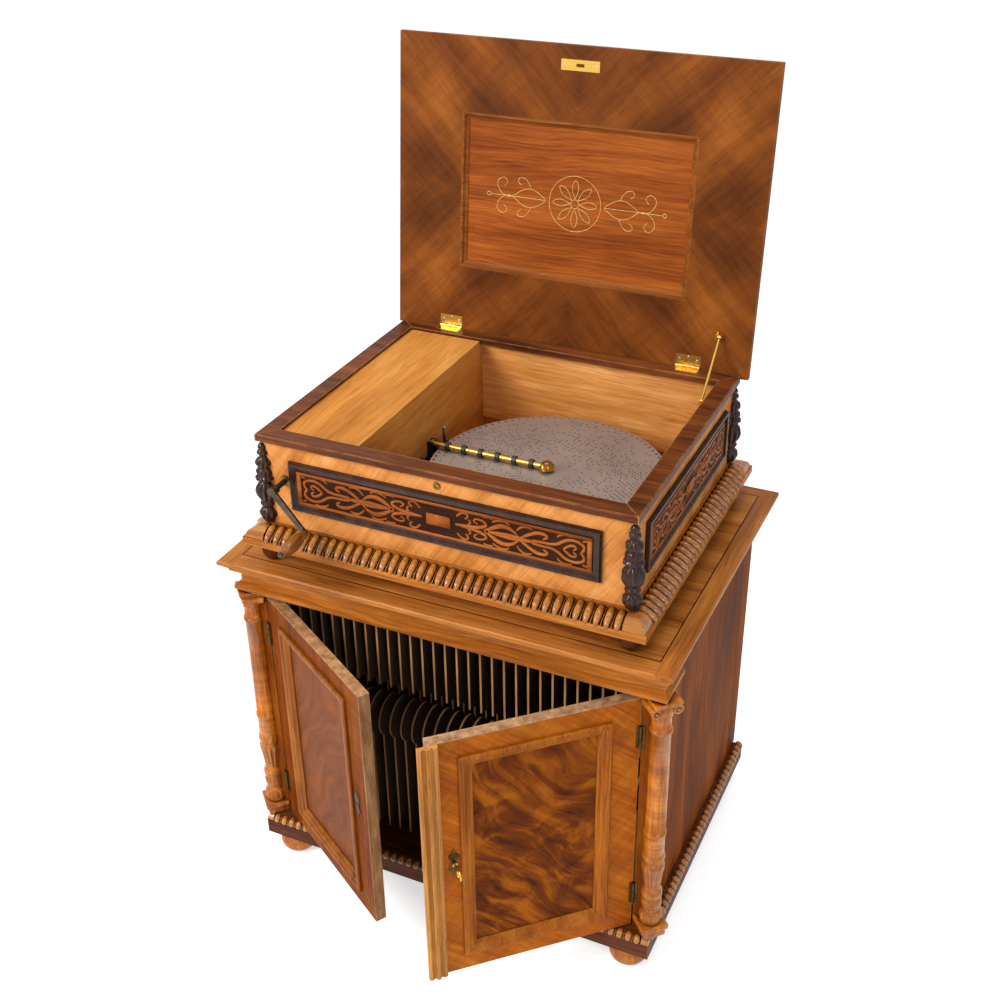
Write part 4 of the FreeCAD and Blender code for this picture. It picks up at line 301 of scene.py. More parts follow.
def case_sheet():
    """The case: slanting veneer outside, plain honey boards inside."""
    material, tree, shader, vector = new_finish("case veneer")
    outer, cloud, height = wood(tree, mapped(tree, vector, turn=(0, 55, 0)), ("a86426", "d88e48", "eaa662"),
                                grain=8.0, streak=0.22, mottle=0.5, figure=0.25)
    inner, _cloud, _height = wood(tree, vector, ("b87230", "da9650", "eeb474"), grain=7.0, streak=0.55,
                                  mottle=0.3)
    parts = add(tree, "ShaderNodeSeparateXYZ", {0: vector})
    side = calc(tree, "SUBTRACT", calc(tree, "ABSOLUTE", parts.outputs[0]), CASE_HALF)
    front = calc(tree, "SUBTRACT", CASE_FRONT, parts.outputs[1])
    back = calc(tree, "SUBTRACT", parts.outputs[1], CASE_BACK)
    wall = calc(tree, "MAXIMUM", side, calc(tree, "MAXIMUM", front, back))
    colour = blend_colour(tree, calc(tree, "LESS_THAN", wall, -0.010), outer, inner)
    colour = blend_colour(tree, edge_wear(tree, vector, 0.003, 0.3), colour, tone("c08a58"))
    polish(tree, shader, colour, cloud, height, 0.42, 0.03)
    return material


def rim_board():
    """The case's rim, with the patch that hands have rubbed beside the lock."""
    material, tree, shader, vector = new_finish("rim wood")
    colour, cloud, height = wood(tree, vector, ("34170b", "693619", "945425"), grain=12.0, streak=0.4,
                                 mottle=0.7)
    from_lock = mapped(tree, vector, move=(0, 0.285, -0.99), size=(1, 3, 1))
    spot = add(tree, "ShaderNodeVectorMath", {0: from_lock}, operation="LENGTH").outputs["Value"]
    near = ramp(tree, spot, (0.03, (1, 1, 1, 1)), (0.10, (0, 0, 0, 1)))
    patch = ramp(tree, noise(tree, vector, 34.0, 5.0, 0.7), (0.42, (0, 0, 0, 1)), (0.58, (1, 1, 1, 1)))
    rubbed = blend_colour(tree, 1.0, near, patch, "MULTIPLY")
    colour = blend_colour(tree, rubbed, colour, tone("b88058"))
    colour = blend_colour(tree, edge_wear(tree, vector, 0.004, 0.8), colour, tone("c8935f"))
    polish(tree, shader, colour, cloud, height, 0.42, 0.05)
    return material


def door_veneer(name, node, side, tilt, tones, worn, shine):
    """A door frame: cross-banded veneer, with bare rubbed wood on its top and on its free edge."""
    material, tree, shader, vector = new_finish(name, door_turns(side))
    colour, cloud, height = wood(tree, mapped(tree, vector, turn=(0, tilt, 0)), tones, grain=7.0, streak=0.45,
                                 mottle=0.45, figure=0.4)
    parts = add(tree, "ShaderNodeSeparateXYZ", {0: vector})
    top = calc(tree, "GREATER_THAN", parts.outputs[2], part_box(node)[1].z - 0.0015)
    grime = noise(tree, mapped(tree, vector, size=(1, 1, 0.2)), 60.0, 5.0, 0.7)
    bare = ramp(tree, grime, (0.30, tone("7a5030")), (0.50, tone(worn)), (0.72, tone("d2a272")))
    reach = calc(tree, "MULTIPLY", parts.outputs[0], -side)
    free = calc(tree, "GREATER_THAN", reach, DOOR_REACH[side] - 0.0015)
    mask = calc(tree, "MAXIMUM", top, free)
    colour = blend_colour(tree, mask, colour, bare)
    colour = blend_colour(tree, edge_wear(tree, vector, 0.003, 0.6), colour, tone("d0a06c"))
    polish(tree, shader, colour, cloud, height, 0.42, 0.0, shine)
    return material


def burl(name, turns, tones, lean=40.0, contrast=1.0):
    """Crotch veneer: broad leaning flames bent by slow swirls, with soft mottle between them."""
    dark, middle, pale = [tone(code) for code in tones]
    material, tree, shader, vector = new_finish(name, turns)
    slow = add(tree, "ShaderNodeTexNoise", {"Vector": vector, "Scale": 3.2, "Detail": 2.0}).outputs[1]
    push = add(tree, "ShaderNodeVectorMath", {0: slow, 1: (0.5, 0.5, 0.5)}, operation="SUBTRACT").outputs[0]
    push = add(tree, "ShaderNodeVectorMath", {0: push, "Scale": 0.28}, operation="SCALE").outputs[0]
    bent = add(tree, "ShaderNodeVectorMath", {0: vector, 1: push}, operation="ADD").outputs[0]
    leaning = mapped(tree, bent, turn=(0, lean, 0))
    plume = noise(tree, mapped(tree, leaning, size=(3.5, 3.5, 22.0)), 1.6, 7.0, 0.62, 0.6)
    curl = noise(tree, bent, 17.0, 4.0, 0.55, 1.2)
    mixed = calc(tree, "MULTIPLY_ADD", curl, 0.32, calc(tree, "MULTIPLY", plume, 0.68))
    half = 0.12 / contrast
    colour = ramp(tree, mixed, (0.49 - half, dark), (0.49, middle), (0.49 + half, pale))
    fine = noise(tree, vector, 150.0, 3.0, 0.6, 0.8)
    specks = ramp(tree, fine, (0.30, (0.5, 0.45, 0.4, 1)), (0.45, (1, 1, 1, 1)))
    colour = blend_colour(tree, 0.4, colour, specks, "MULTIPLY")
    polish(tree, shader, colour, curl, fine, 0.42, 0.02, 0.04)
    return material


def metal(name, pale, dark, rough=0.3, spots=0.35, scale=60.0):
    """Old metal: bright, with dull and tarnished patches."""
    material, tree, shader, vector = new_finish(name)
    patch = noise(tree, vector, scale, 5.0, 0.65, 0.5)
    cloudy = ramp(tree, patch, (0.36, tone(dark)), (0.58, tone(pale)))
    colour = blend_colour(tree, spots, tone(pale), cloudy)
    tree.links.new(colour, shader.inputs["Base Color"])
    dull = calc(tree, "MULTIPLY_ADD", patch, -0.35, rough + 0.2)
    tree.links.new(dull, shader.inputs["Roughness"])
    bump = add(tree, "ShaderNodeBump", {"Strength": 0.15, "Distance": 0.0004, "Height": patch})
    tree.links.new(bump.outputs[0], shader.inputs["Normal"])
    shader.inputs["Metallic"].default_value = 1.0
    return material


def disc_metal():
    """The tune disc: dull tinned steel with rings of small slots, painted near-black as the shade seen
    through its punched holes.
    """
    material, tree, shader, vector = new_finish("tune disc metal", [((-DISC[0], -DISC[1], 0), (0, 0, 0))])
    parts = add(tree, "ShaderNodeSeparateXYZ", {0: vector})
    x = parts.outputs[0]
    y = parts.outputs[1]
    radius = calc(tree, "SQRT", calc(tree, "ADD", calc(tree, "MULTIPLY", x, x), calc(tree, "MULTIPLY", y, y)))
    angle = calc(tree, "ARCTAN2", y, x)
    ring = calc(tree, "DIVIDE", radius, 0.0052)
    ring_number = calc(tree, "FLOOR", ring)
    ring_part = calc(tree, "SUBTRACT", ring, ring_number)
    pitch = calc(tree, "FLOOR", calc(tree, "MULTIPLY_ADD", ring_number, 3.1, 4.0))
    offset = calc(tree, "MULTIPLY", ring_number, 0.37)
    step = calc(tree, "ADD", calc(tree, "MULTIPLY", angle, calc(tree, "DIVIDE", pitch, 2 * math.pi)), offset)
    step_number = calc(tree, "FLOOR", step)
    step_part = calc(tree, "SUBTRACT", step, step_number)
    cell = add(tree, "ShaderNodeCombineXYZ", {0: ring_number, 1: step_number}).outputs[0]
    dice = add(tree, "ShaderNodeTexWhiteNoise", {"Vector": cell}, noise_dimensions="2D").outputs[0]
    tune = noise(tree, mapped(tree, vector, size=(1, 1, 0)), 9.0, 2.0)
    chosen = calc(tree, "LESS_THAN", dice, calc(tree, "MULTIPLY_ADD", tune, 1.9, -0.55))
    across = calc(tree, "LESS_THAN", calc(tree, "ABSOLUTE", calc(tree, "SUBTRACT", ring_part, 0.5)), 0.19)
    along = calc(tree, "LESS_THAN", calc(tree, "ABSOLUTE", calc(tree, "SUBTRACT", step_part, 0.5)), 0.21)
    mask = calc(tree, "MULTIPLY", calc(tree, "MULTIPLY", across, along), chosen)
    mask = calc(tree, "MULTIPLY", inside_of(tree, radius, 0.040, 0.208), mask)
    patch = noise(tree, vector, 7.0, 4.0, 0.5)
    plate = ramp(tree, patch, (0.30, tone("94867c")), (0.70, tone("a8998e")))
    # Painted shade: the chosen slots are coloured near-black for the shade seen through the holes; the same
    # mask also drops the metal and sinks the bump.
    colour = blend_colour(tree, mask, plate, tone("14100e"))
    tree.links.new(colour, shader.inputs["Base Color"])
    tree.links.new(calc(tree, "MULTIPLY_ADD", mask, -0.7, 0.7), shader.inputs["Metallic"])
    shader.inputs["Roughness"].default_value = 0.55
    sunk = calc(tree, "SUBTRACT", 1.0, mask)
    bump = add(tree, "ShaderNodeBump", {"Strength": 0.4, "Distance": 0.001, "Height": sunk})
    tree.links.new(bump.outputs[0], shader.inputs["Normal"])
    return material


def divider_board():
    """Dividers: brown or grey faces that differ from board to board, darkened as painted shade of the narrow
    slots between them, with tan front edges.
    """
    material, tree, shader, vector = new_finish("divider board")
    parts = add(tree, "ShaderNodeSeparateXYZ", {0: vector})
    number = calc(tree, "FLOOR", calc(tree, "MULTIPLY_ADD", parts.outputs[0], 1 / 0.0244375, 0.5))
    dice = add(tree, "ShaderNodeTexWhiteNoise", {"W": number}, noise_dimensions="1D").outputs[0]
    # Painted shade: side faces get near-black to grey-brown tones for the shade inside the slots; the change
    # from board to board is the boards' own tone, and the noise multiply is dirt.
    faces = ramp(tree, dice, (0.0, tone("2a1608")), (0.5, tone("462e18")), (1.0, tone("463624")))
    grime = noise(tree, mapped(tree, vector, size=(3, 3, 1)), 8.0, 5.0, 0.6)
    dirt_and_painted_shade = ramp(tree, grime, (0.3, (0.5, 0.46, 0.42, 1)), (0.7, (1, 1, 1, 1)))
    faces = blend_colour(tree, 0.6, faces, dirt_and_painted_shade, "MULTIPLY")
    normal = add(tree, "ShaderNodeTexCoord").outputs["Normal"]
    facing = calc(tree, "ABSOLUTE", add(tree, "ShaderNodeSeparateXYZ", {0: normal}).outputs[0])
    edge = calc(tree, "LESS_THAN", facing, 0.5)
    tan = ramp(tree, grime, (0.3, tone("9a6c38")), (0.7, tone("c8945a")))
    tree.links.new(blend_colour(tree, edge, faces, tan), shader.inputs["Base Color"])
    shader.inputs["Roughness"].default_value = 0.75
    return material


def top_board():
    """The cabinet top: figured field, thin dark line and a cross-grained border."""
    material, tree, shader, vector = new_finish("stand top veneer")
    tones = ("7c3e12", "b8702e", "da9244")
    parts = add(tree, "ShaderNodeSeparateXYZ", {0: vector})
    side = calc(tree, "SUBTRACT", calc(tree, "ABSOLUTE", parts.outputs[0]), 0.416)
    from_middle = calc(tree, "SUBTRACT", parts.outputs[1], 0.0025)
    end = calc(tree, "SUBTRACT", calc(tree, "ABSOLUTE", from_middle), 0.2995)
    field, cloud, height = wood(tree, vector, tones, grain=7.0, streak=0.4, mottle=0.45)
    across = mapped(tree, vector, turn=(0, 0, -90))
    border, _cloud, _height = wood(tree, across, tones, grain=7.0, streak=0.4, mottle=0.45)
    colour = blend_colour(tree, calc(tree, "GREATER_THAN", side, 0.0), field, border)
    away = calc(tree, "ABSOLUTE", calc(tree, "MAXIMUM", side, end))
    colour = blend_colour(tree, calc(tree, "LESS_THAN", away, 0.0012), colour, tone("2a140a"))
    colour = blend_colour(tree, edge_wear(tree, vector, 0.003, 0.4), colour, tone("c08a58"))
    polish(tree, shader, colour, cloud, height, 0.36, 0.05)
    return material


LID_TURNS = [((0, -LID_HINGE[1], -LID_HINGE[2]), (0, 0, 0)), ((0, 0, 0), (LID_OPEN, 0, 0)),
             ((0, LID_MIDDLE, 0), (0, 0, 0))]
UPRIGHT = [((0, 0, 0), (0, 90, 0))]
DEEP = [((0, 0, 0), (0, 0, -90))]


def door_turns(side, tilt=None):
    """Coordinates laid along an open door, then tilted."""
    angle = RIGHT_DOOR_OPEN if side > 0 else LEFT_DOOR_OPEN
    hinge = Vector((side * DOOR_HINGE_X, DOOR_HINGE_Y, 0))
    moved = -(turned_matrix(-angle, "Z") @ hinge)
    turns = [(tuple(moved), (0, 0, -angle))]
    if tilt is not None:
        turns.append(((0, 0, 0), (0, tilt, 0)))
    return turns


def door_reach(node, side):
    """How far a door frame reaches from its hinge line."""
    back = door_place(side).inverted()
    return max(-side * (back @ vert.co).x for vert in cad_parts[node].data.vertices)


DOOR_REACH = {-1: door_reach("left_door_frame", -1), 1: door_reach("right_door_frame", 1)}

finish = {
    "lid veneer": timber(
        "lid veneer", ("46200a", "784014", "9c5a20"), LID_TURNS, fold=True, grain=4.0, streak=0.22,
        mottle=0.95, gloss=0.5, wear=0.3, coat=0.0, figure=0.3),
    "lid panel": timber(
        "lid panel wood", ("66280a", "9a4e1a", "b86626"), LID_TURNS, grain=11.0, streak=0.5,
        mottle=0.35, gloss=0.45, wear=0.0, coat=0.0),
    "lid moulding": timber(
        "lid moulding wood", ("5a2a0c", "8a4a18", "b06a28"), LID_TURNS, grain=20.0, gloss=0.4,
        wear=0.3),
    "rim": rim_board(),
    "honey": timber(
        "honey wood", ("b46e2a", "dc984a", "f0b870"), grain=7.0, streak=0.5, mottle=0.3, gloss=0.5,
        wear=0.2, coat=0.0),
    "honey deep": timber(
        "honey wood, front to back", ("a05e1c", "c48038", "d89c52"), DEEP, grain=5.0, streak=0.35,
        mottle=0.3, gloss=0.5, wear=0.2, coat=0.0),
    "case veneer": case_sheet(),
    "walnut": timber(
        "walnut, lengthwise", ("7c4010", "ba7028", "dc9240"), grain=9.0, gloss=0.36, coat=0.05,
        painted_recess_shade=0.7, recess_reach=0.006),
    "walnut upright": timber(
        "walnut, upright", ("562606", "84420e", "a45c18"), UPRIGHT, grain=6.0, streak=0.3, mottle=0.75,
        gloss=0.5, wear=0.3, coat=0.0, figure=0.2, shine=0.02),
    "column": timber(
        "column walnut", ("844008", "c87420", "f0a83c"), UPRIGHT, grain=6.0, mottle=0.6, gloss=0.30,
        wear=0.2, coat=0.45, figure=0.8, painted_recess_shade=1.0, recess_reach=0.010),
    "plinth": timber(
        "plinth wood", ("301608", "5a2e1a", "7c462c"), grain=10.0, gloss=0.45, wear=0.5, worn="9a6238"),
    "lobes": timber(
        "gadroon wood", ("7a400e", "b87028", "dc9c44"), grain=14.0, gloss=0.30, wear=0.0, coat=0.85,
        painted_recess_shade=1.0, recess_reach=0.008),
    "ebonised": timber(
        "ebonised wood", ("180b06", "34190e", "54301e"), UPRIGHT, grain=14.0, gloss=0.35, wear=0.4,
        worn="6e4228", coat=0.35),
    "carving": timber(
        "carved wood", ("7c3a0c", "a85a20", "c47834"), grain=10.0, gloss=0.42, wear=0.0, coat=0.04,
        painted_recess_shade=0.85, recess_reach=0.004),
    "carving ground": timber(
        "carved ground", ("1a0905", "30160b", "4c2511"), grain=10.0, gloss=0.5, wear=0.0, coat=0.0),
    "left door": door_veneer(
        "left door veneer", "left_door_frame", -1, 90, ("562406", "84400e", "a8601c"), "a87c54", 0.02),
    "right door": door_veneer(
        "right door veneer", "right_door_frame", 1, -40, ("944806", "bf6610", "dc8a20"), "a88260",
        0.08),
    "left moulding": timber(
        "left door moulding", ("5a2808", "925018", "b87226"), door_turns(-1, 90), grain=14.0, wear=0.3,
        painted_recess_shade=0.95, recess_reach=0.006),
    "right moulding": timber(
        "right door moulding", ("7c3a06", "b06014", "d28a2c"), door_turns(1, 90), grain=14.0, wear=0.3,
        painted_recess_shade=0.95, recess_reach=0.006),
    "astragal": timber(
        "door edge reeds", ("9a581c", "cc883c", "e6ac60"), door_turns(1, 90), grain=14.0, wear=0.5,
        worn="f0c888", painted_recess_shade=0.95, recess_reach=0.006),
    "left burl": burl("left door burl", door_turns(-1), ("562408", "743a12", "8e4c1c"), 60.0, 0.6),
    "right burl": burl("right door burl", door_turns(1), ("381403", "743404", "b0600e"), -55.0, 0.9),
    "handle": timber(
        "handle wood", ("4e260c", "8a5220", "ac7636"), DEEP, grain=12.0, gloss=0.24, wear=0.2,
        coat=0.7),
    "brass": metal("brass", "d2a850", "80601e", 0.26),
    "dark brass": metal("dark brass", "7a6230", "30240f", 0.36, 0.7, 90.0),
    "old brass": metal("old brass", "5e4826", "2a1c0c", 0.45, 0.7, 90.0),
    "steel": metal("bright steel", "a9a6a0", "5c5650", 0.3),
    "arm steel": metal("arm steel", "5c4f46", "2c231e", 0.42, 0.6),
    "screw": metal("screw steel", "c4c2bd", "8a8680", 0.22),
    "iron": metal("black iron", "3a3836", "1a1918", 0.5),
    "disc": disc_metal(),
    "divider": divider_board(),
    "top": top_board(),
}

black, black_tree, black_shader, black_vector = new_finish("roller black")
black_patch = noise(black_tree, black_vector, 90.0, 3.0)
black_tree.links.new(ramp(black_tree, black_patch, (0.3, tone("0d0c0c")), (0.7, tone("221f1e"))),
                     black_shader.inputs["Base Color"])
black_shader.inputs["Roughness"].default_value = 0.45
finish["black"] = black

gold, gold_tree, gold_shader, gold_vector = new_finish("gold line")
gold_patch = noise(gold_tree, gold_vector, 160.0, 3.0)
gold_tree.links.new(ramp(gold_tree, gold_patch, (0.3, tone("c99a45")), (0.7, tone("f0cf86"))),
                    gold_shader.inputs["Base Color"])
gold_shader.inputs["Roughness"].default_value = 0.45
gold_shader.inputs["Metallic"].default_value = 0.35
finish["gold"] = gold

dress(finish["lid veneer"], "lid_frame")
dress(finish["lid panel"], "lid_panel")
dress(finish["lid moulding"], "lid_moulding")
dress(finish["rim"], "case_rim")
dress(finish["honey"], "sound_board")
dress(finish["honey deep"], "compartment_cover", "compartment_partition")
dress(finish["case veneer"], "case_walls")
dress(finish["walnut"], "base_moulding", "cabinet_cornice")
dress(finish["lobes"], "corner_blocks")
dress(finish["ebonised"], "panel_frames")
dress(finish["carving ground"], "carved_panels")
dress(finish["walnut upright"], "cabinet_sides", "cabinet_back", "corner_posts")
dress(finish["plinth"], "plinth_frame", "cabinet_shelves")
dress(finish["column"], "cabinet_feet")
dress(finish["plinth"], "box_feet")
dress(finish["top"], "cabinet_top")
dress(finish["divider"], "disc_dividers")
dress(finish["left door"], "left_door_frame")
dress(finish["right door"], "right_door_frame")
dress(finish["astragal"], "door_astragal")
dress(finish["left moulding"], "left_door_moulding")
dress(finish["right moulding"], "right_door_moulding")
dress(finish["left burl"], "left_door_panel")
dress(finish["right burl"], "right_door_panel")
dress(finish["brass"], "rim_fittings", "lid_fittings", "lid_stay", "pressure_bar", "centre_latch",
      "spring_barrel", "governor", "star_wheels", "door_key")
dress(finish["dark brass"], "front_fittings")
dress(finish["old brass"], "left_door_brass", "right_door_brass", "post_hinges")
dress(finish["arm steel"], "crank", "door_lock_case", "door_lock_bolt")
dress(finish["steel"], "winding_wheel", "lay_shaft", "sprocket", "combs", "start_lever")
dress(finish["iron"], "motor_plates", "bedplate")
dress(finish["handle"], "crank_handle")
dress(finish["black"], "bar_rollers")
dress(finish["disc"], "tune_disc")


# Gadroons

def add_lobe(form, place, length, width, bulge):
    """One polished bead on its slope: a stretched ball."""
    made = bmesh.ops.create_uvsphere(form, u_segments=10, v_segments=8, radius=1.0)
    for vert in made["verts"]:
        vert.co.z = math.copysign(abs(vert.co.z) ** 0.75, vert.co.z)
    size = Matrix.Diagonal((width, bulge, length, 1.0))
    bmesh.ops.transform(form, matrix=place @ size, verts=made["verts"])


def add_dart(form, place, length, width, bulge):
    """The thin sunk tongue between two beads."""
    made = bmesh.ops.create_cone(form, segments=6, radius1=width, radius2=width * 0.6, depth=2 * length,
                                 cap_ends=True)
    size = Matrix.Diagonal((1.0, bulge / width, 1.0, 1.0))
    bmesh.ops.transform(form, matrix=place @ size, verts=made["verts"])


def run_places(start, end, pitch):
    """Middles of the beads along a run, as in the solids."""
    count = max(1, round((end - start) / pitch))
    step = (end - start) / count
    return [start + (i + 0.5) * step for i in range(count)], step


def beads(name, replaced, runs, pitch, bottom, rise, depth):
    """Rows of beads and darts that lean back on a quarter round."""
    form = bmesh.new()
    for origin, way, out, start, end in runs:
        middles, step = run_places(start, end, pitch)
        angle = math.atan2(way.y, way.x)
        for i, along in enumerate(middles):
            centre = origin + way * along - out * (0.42 * depth)
            centre.z = bottom + 0.42 * rise
            face = 0 if out.y < 0 else (90 if out.x > 0 else -90)
            turn = turned_matrix(face, "Z") @ turned_matrix(-math.degrees(math.atan2(depth, rise)), "X")
            reach = 0.5 * math.hypot(depth, rise)
            place = Matrix.Translation(centre) @ turn
            add_lobe(form, place, 1.10 * reach, 0.41 * step, 0.42 * rise + 0.002)
            if i:
                between = centre - way * (0.5 * step)
                add_dart(form, Matrix.Translation(between) @ turn, 0.95 * reach, 0.07 * step, 0.32 * rise)
    piece = new_piece(name, mesh_of(name, form), "stand_and_case", finish["lobes"])
    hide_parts(replaced)
    return piece


def side_runs(half, front, back, corner, far_corner):
    """Front, right and left runs of a moulding, as origin, way, outward, start and end."""
    x = Vector((1, 0, 0))
    y = Vector((0, 1, 0))
    return [
        (Vector((0, front, 0)), x, -y, -half + corner, half - corner),
        (Vector((half, 0, 0)), y, x, front + corner, back - far_corner),
        (Vector((-half, 0, 0)), y, -x, front + corner, back - far_corner),
    ]


base_runs = side_runs(BASE_X, -BASE_Y, BASE_Y, BASE_CORNER, BASE_CORNER)
plinth_runs = side_runs(PLINTH_X, PLINTH_FRONT, PLINTH_BACK, PLINTH_CORNER, 0.0)
beads("base_beads", "base_gadroons", base_runs, LOBE_PITCH, BAND_TOP, LOBE_RISE, LOBE_DEPTH)
beads("plinth_bead_row", "plinth_beads", plinth_runs, BEAD_PITCH, BEAD_BOTTOM, BEAD_SIZE, BEAD_SIZE)


# Turned work

def spin_outline(form, outline, steps):
    """A turned form about the upright axis from (radius, height) points."""
    verts = [form.verts.new((r, 0, z)) for r, z in outline]
    edges = [form.edges.new(pair) for pair in zip(verts, verts[1:])]
    bmesh.ops.spin(form, geom=verts + edges, cent=(0, 0, 0), axis=(0, 0, 1), angle=2 * math.pi, steps=steps,
                   use_merge=True)
    bmesh.ops.remove_doubles(form, verts=form.verts, dist=1e-6)


def swell(form, low, high, count, amount, twist=0.0):
    """Carve upright ribs or leaves into a turned form between two heights."""
    for vert in form.verts:
        if low < vert.co.z < high:
            share = (vert.co.z - low) / (high - low)
            angle = math.atan2(vert.co.y, vert.co.x)
            rib = abs(math.cos(0.5 * count * angle + twist * share))
            rise = amount * math.sin(math.pi * share) ** 0.5
            scale = 1.0 - rise * (1.0 - rib)
            vert.co.x *= scale
            vert.co.y *= scale


def smooth_outline(points, rounds):
    """Round a turned outline by cutting its corners."""
    for _ in range(rounds):
        cut = [points[0]]
        for (r0, z0), (r1, z1) in zip(points, points[1:]):
            cut.append((0.75 * r0 + 0.25 * r1, 0.75 * z0 + 0.25 * z1))
            cut.append((0.25 * r0 + 0.75 * r1, 0.25 * z0 + 0.75 * z1))
        cut.append(points[-1])
        points = cut
    return points


CORNER_Z = 0.827
CORNER_HEIGHT = 0.169
CORNER_RADIUS = 0.022


def corner_column_mesh():
    """One ebonised corner column with carved balls, leaves and rings."""
    r = CORNER_RADIUS
    h = CORNER_HEIGHT
    shares = [
        (0.0, 0.0), (0.40, 0.0), (0.62, 0.05), (0.80, 0.09), (0.84, 0.13), (0.60, 0.17), (0.40, 0.195),
        (0.64, 0.215), (0.66, 0.245), (0.50, 0.265), (0.80, 0.31), (0.98, 0.38), (0.86, 0.45), (0.50, 0.50),
        (0.38, 0.515), (0.84, 0.53), (0.88, 0.56), (0.62, 0.585), (0.80, 0.62), (0.62, 0.66), (0.46, 0.68),
        (0.72, 0.71), (0.72, 0.76), (0.42, 0.79), (0.30, 0.82), (0.50, 0.84), (0.50, 0.87), (0.28, 0.89),
        (0.42, 0.92), (0.15, 0.97), (0.0, 0.97),
    ]
    outline = smooth_outline([(a * r, CORNER_Z + b * h) for a, b in shares], 1)
    form = bmesh.new()
    spin_outline(form, outline, 40)
    swell(form, CORNER_Z + 0.04 * h, CORNER_Z + 0.17 * h, 10, 0.30)
    swell(form, CORNER_Z + 0.27 * h, CORNER_Z + 0.50 * h, 10, 0.36)
    swell(form, CORNER_Z + 0.52 * h, CORNER_Z + 0.66 * h, 12, 0.30)
    swell(form, CORNER_Z + 0.69 * h, CORNER_Z + 0.79 * h, 10, 0.30)
    swell(form, CORNER_Z + 0.83 * h, CORNER_Z + 0.88 * h, 8, 0.25)
    return form


def corner_columns():
    """All four corner columns in one piece."""
    whole = bmesh.new()
    for x, y in ((-0.356, -0.280), (0.356, -0.280), (0.356, 0.275), (-0.356, 0.275)):
        form = corner_column_mesh()
        bmesh.ops.translate(form, verts=form.verts, vec=(x, y, 0))
        one = mesh_of("one corner", form)
        whole.from_mesh(one)
        bpy.data.meshes.remove(one)
    piece = new_piece("carved_corners", mesh_of("carved_corners", whole), "stand_and_case",
                      finish["ebonised"])
    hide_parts("corner_columns")
    return piece


corner_columns()


PEDESTAL_TOP = 0.128
NECK = 0.620
SHAFT = 0.019
PLATE_HALF = 0.038


def column_shaft():
    """The right column's turned part about its own axis, with reeds and flutes."""
    r = SHAFT
    s = PEDESTAL_TOP
    points = [
        (0.0, s), (1.05 * r, s), (1.05 * r, s + 0.004), (1.02 * r, s + 0.005), (1.17 * r, s + 0.009),
        (1.22 * r, s + 0.016), (1.15 * r, s + 0.024), (1.00 * r, s + 0.028), (0.84 * r, s + 0.030),
        (0.84 * r, s + 0.038), (0.92 * r, s + 0.040), (1.03 * r, s + 0.045), (1.03 * r, s + 0.055),
        (0.92 * r, s + 0.060), (0.84 * r, s + 0.062), (0.94 * r, s + 0.065), (1.05 * r, s + 0.070),
        (1.05 * r, s + 0.078), (0.92 * r, s + 0.083), (0.82 * r, s + 0.085), (0.80 * r, s + 0.090),
        (0.88 * r, s + 0.100), (0.96 * r, s + 0.115), (1.06 * r, s + 0.130), (1.18 * r, s + 0.142),
        (1.17 * r, s + 0.146), (0.90 * r, s + 0.150), (0.95 * r, s + 0.155), (1.12 * r, s + 0.159),
        (1.17 * r, s + 0.165), (1.12 * r, s + 0.172), (0.97 * r, s + 0.176), (1.00 * r, s + 0.178),
        (1.00 * r, s + 0.200), (1.00 * r, s + 0.222), (1.10 * r, s + 0.223), (1.11 * r, s + 0.2255),
        (1.10 * r, s + 0.228), (1.00 * r, s + 0.229), (0.99 * r, 0.42), (0.98 * r, 0.50),
        (0.97 * r, NECK - 0.032), (1.08 * r, NECK - 0.031), (1.11 * r, NECK - 0.0275),
        (1.08 * r, NECK - 0.024), (0.96 * r, NECK - 0.023),
        (0.93 * r, NECK), (1.22 * r, NECK + 0.022), (1.22 * r, NECK + 0.036), (0.0, NECK + 0.036),
    ]
    form = bmesh.new()
    spin_outline(form, points, 48)
    swell(form, s + 0.005, s + 0.029, 14, 0.16)
    swell(form, s + 0.086, s + 0.1495, 12, 0.22)
    swell(form, s + 0.153, s + 0.177, 12, 0.12, 3.0)
    return form


def plate(form, half, bottom, top, round_over):
    """A square plate set diagonally, with softened edges."""
    made = bmesh.ops.create_cone(form, segments=4, radius1=half, radius2=half, depth=top - bottom,
                                 cap_ends=True)
    verts = made["verts"]
    bmesh.ops.translate(form, verts=verts, vec=(0, 0, (top + bottom) / 2))
    edges = list({edge for vert in verts for edge in vert.link_edges})
    bmesh.ops.bevel(form, geom=edges, offset=round_over, segments=2, profile=0.5, affect="EDGES", material=-1)


def scroll(form, centre, out, size, depth):
    """A rolled volute: a drum with a sunk eye and a raised coil."""
    place = Matrix.Translation(centre) @ out.to_track_quat("Z", "Y").to_matrix().to_4x4()
    half = depth / 2
    outline = [
        (0.0, half + 0.0012), (0.28 * size, half + 0.001), (0.30 * size, half - 0.0022),
        (0.58 * size, half - 0.0022), (0.62 * size, half), (0.92 * size, half), (size, half - 0.001),
        (0.86 * size, 0.0), (size, 0.001 - half), (0.9 * size, -half), (0.0, -half),
    ]
    drum = bmesh.new()
    spin_outline(drum, outline, 24)
    bmesh.ops.transform(drum, matrix=place, verts=drum.verts)
    one = mesh_of("one volute", drum)
    form.from_mesh(one)
    bpy.data.meshes.remove(one)


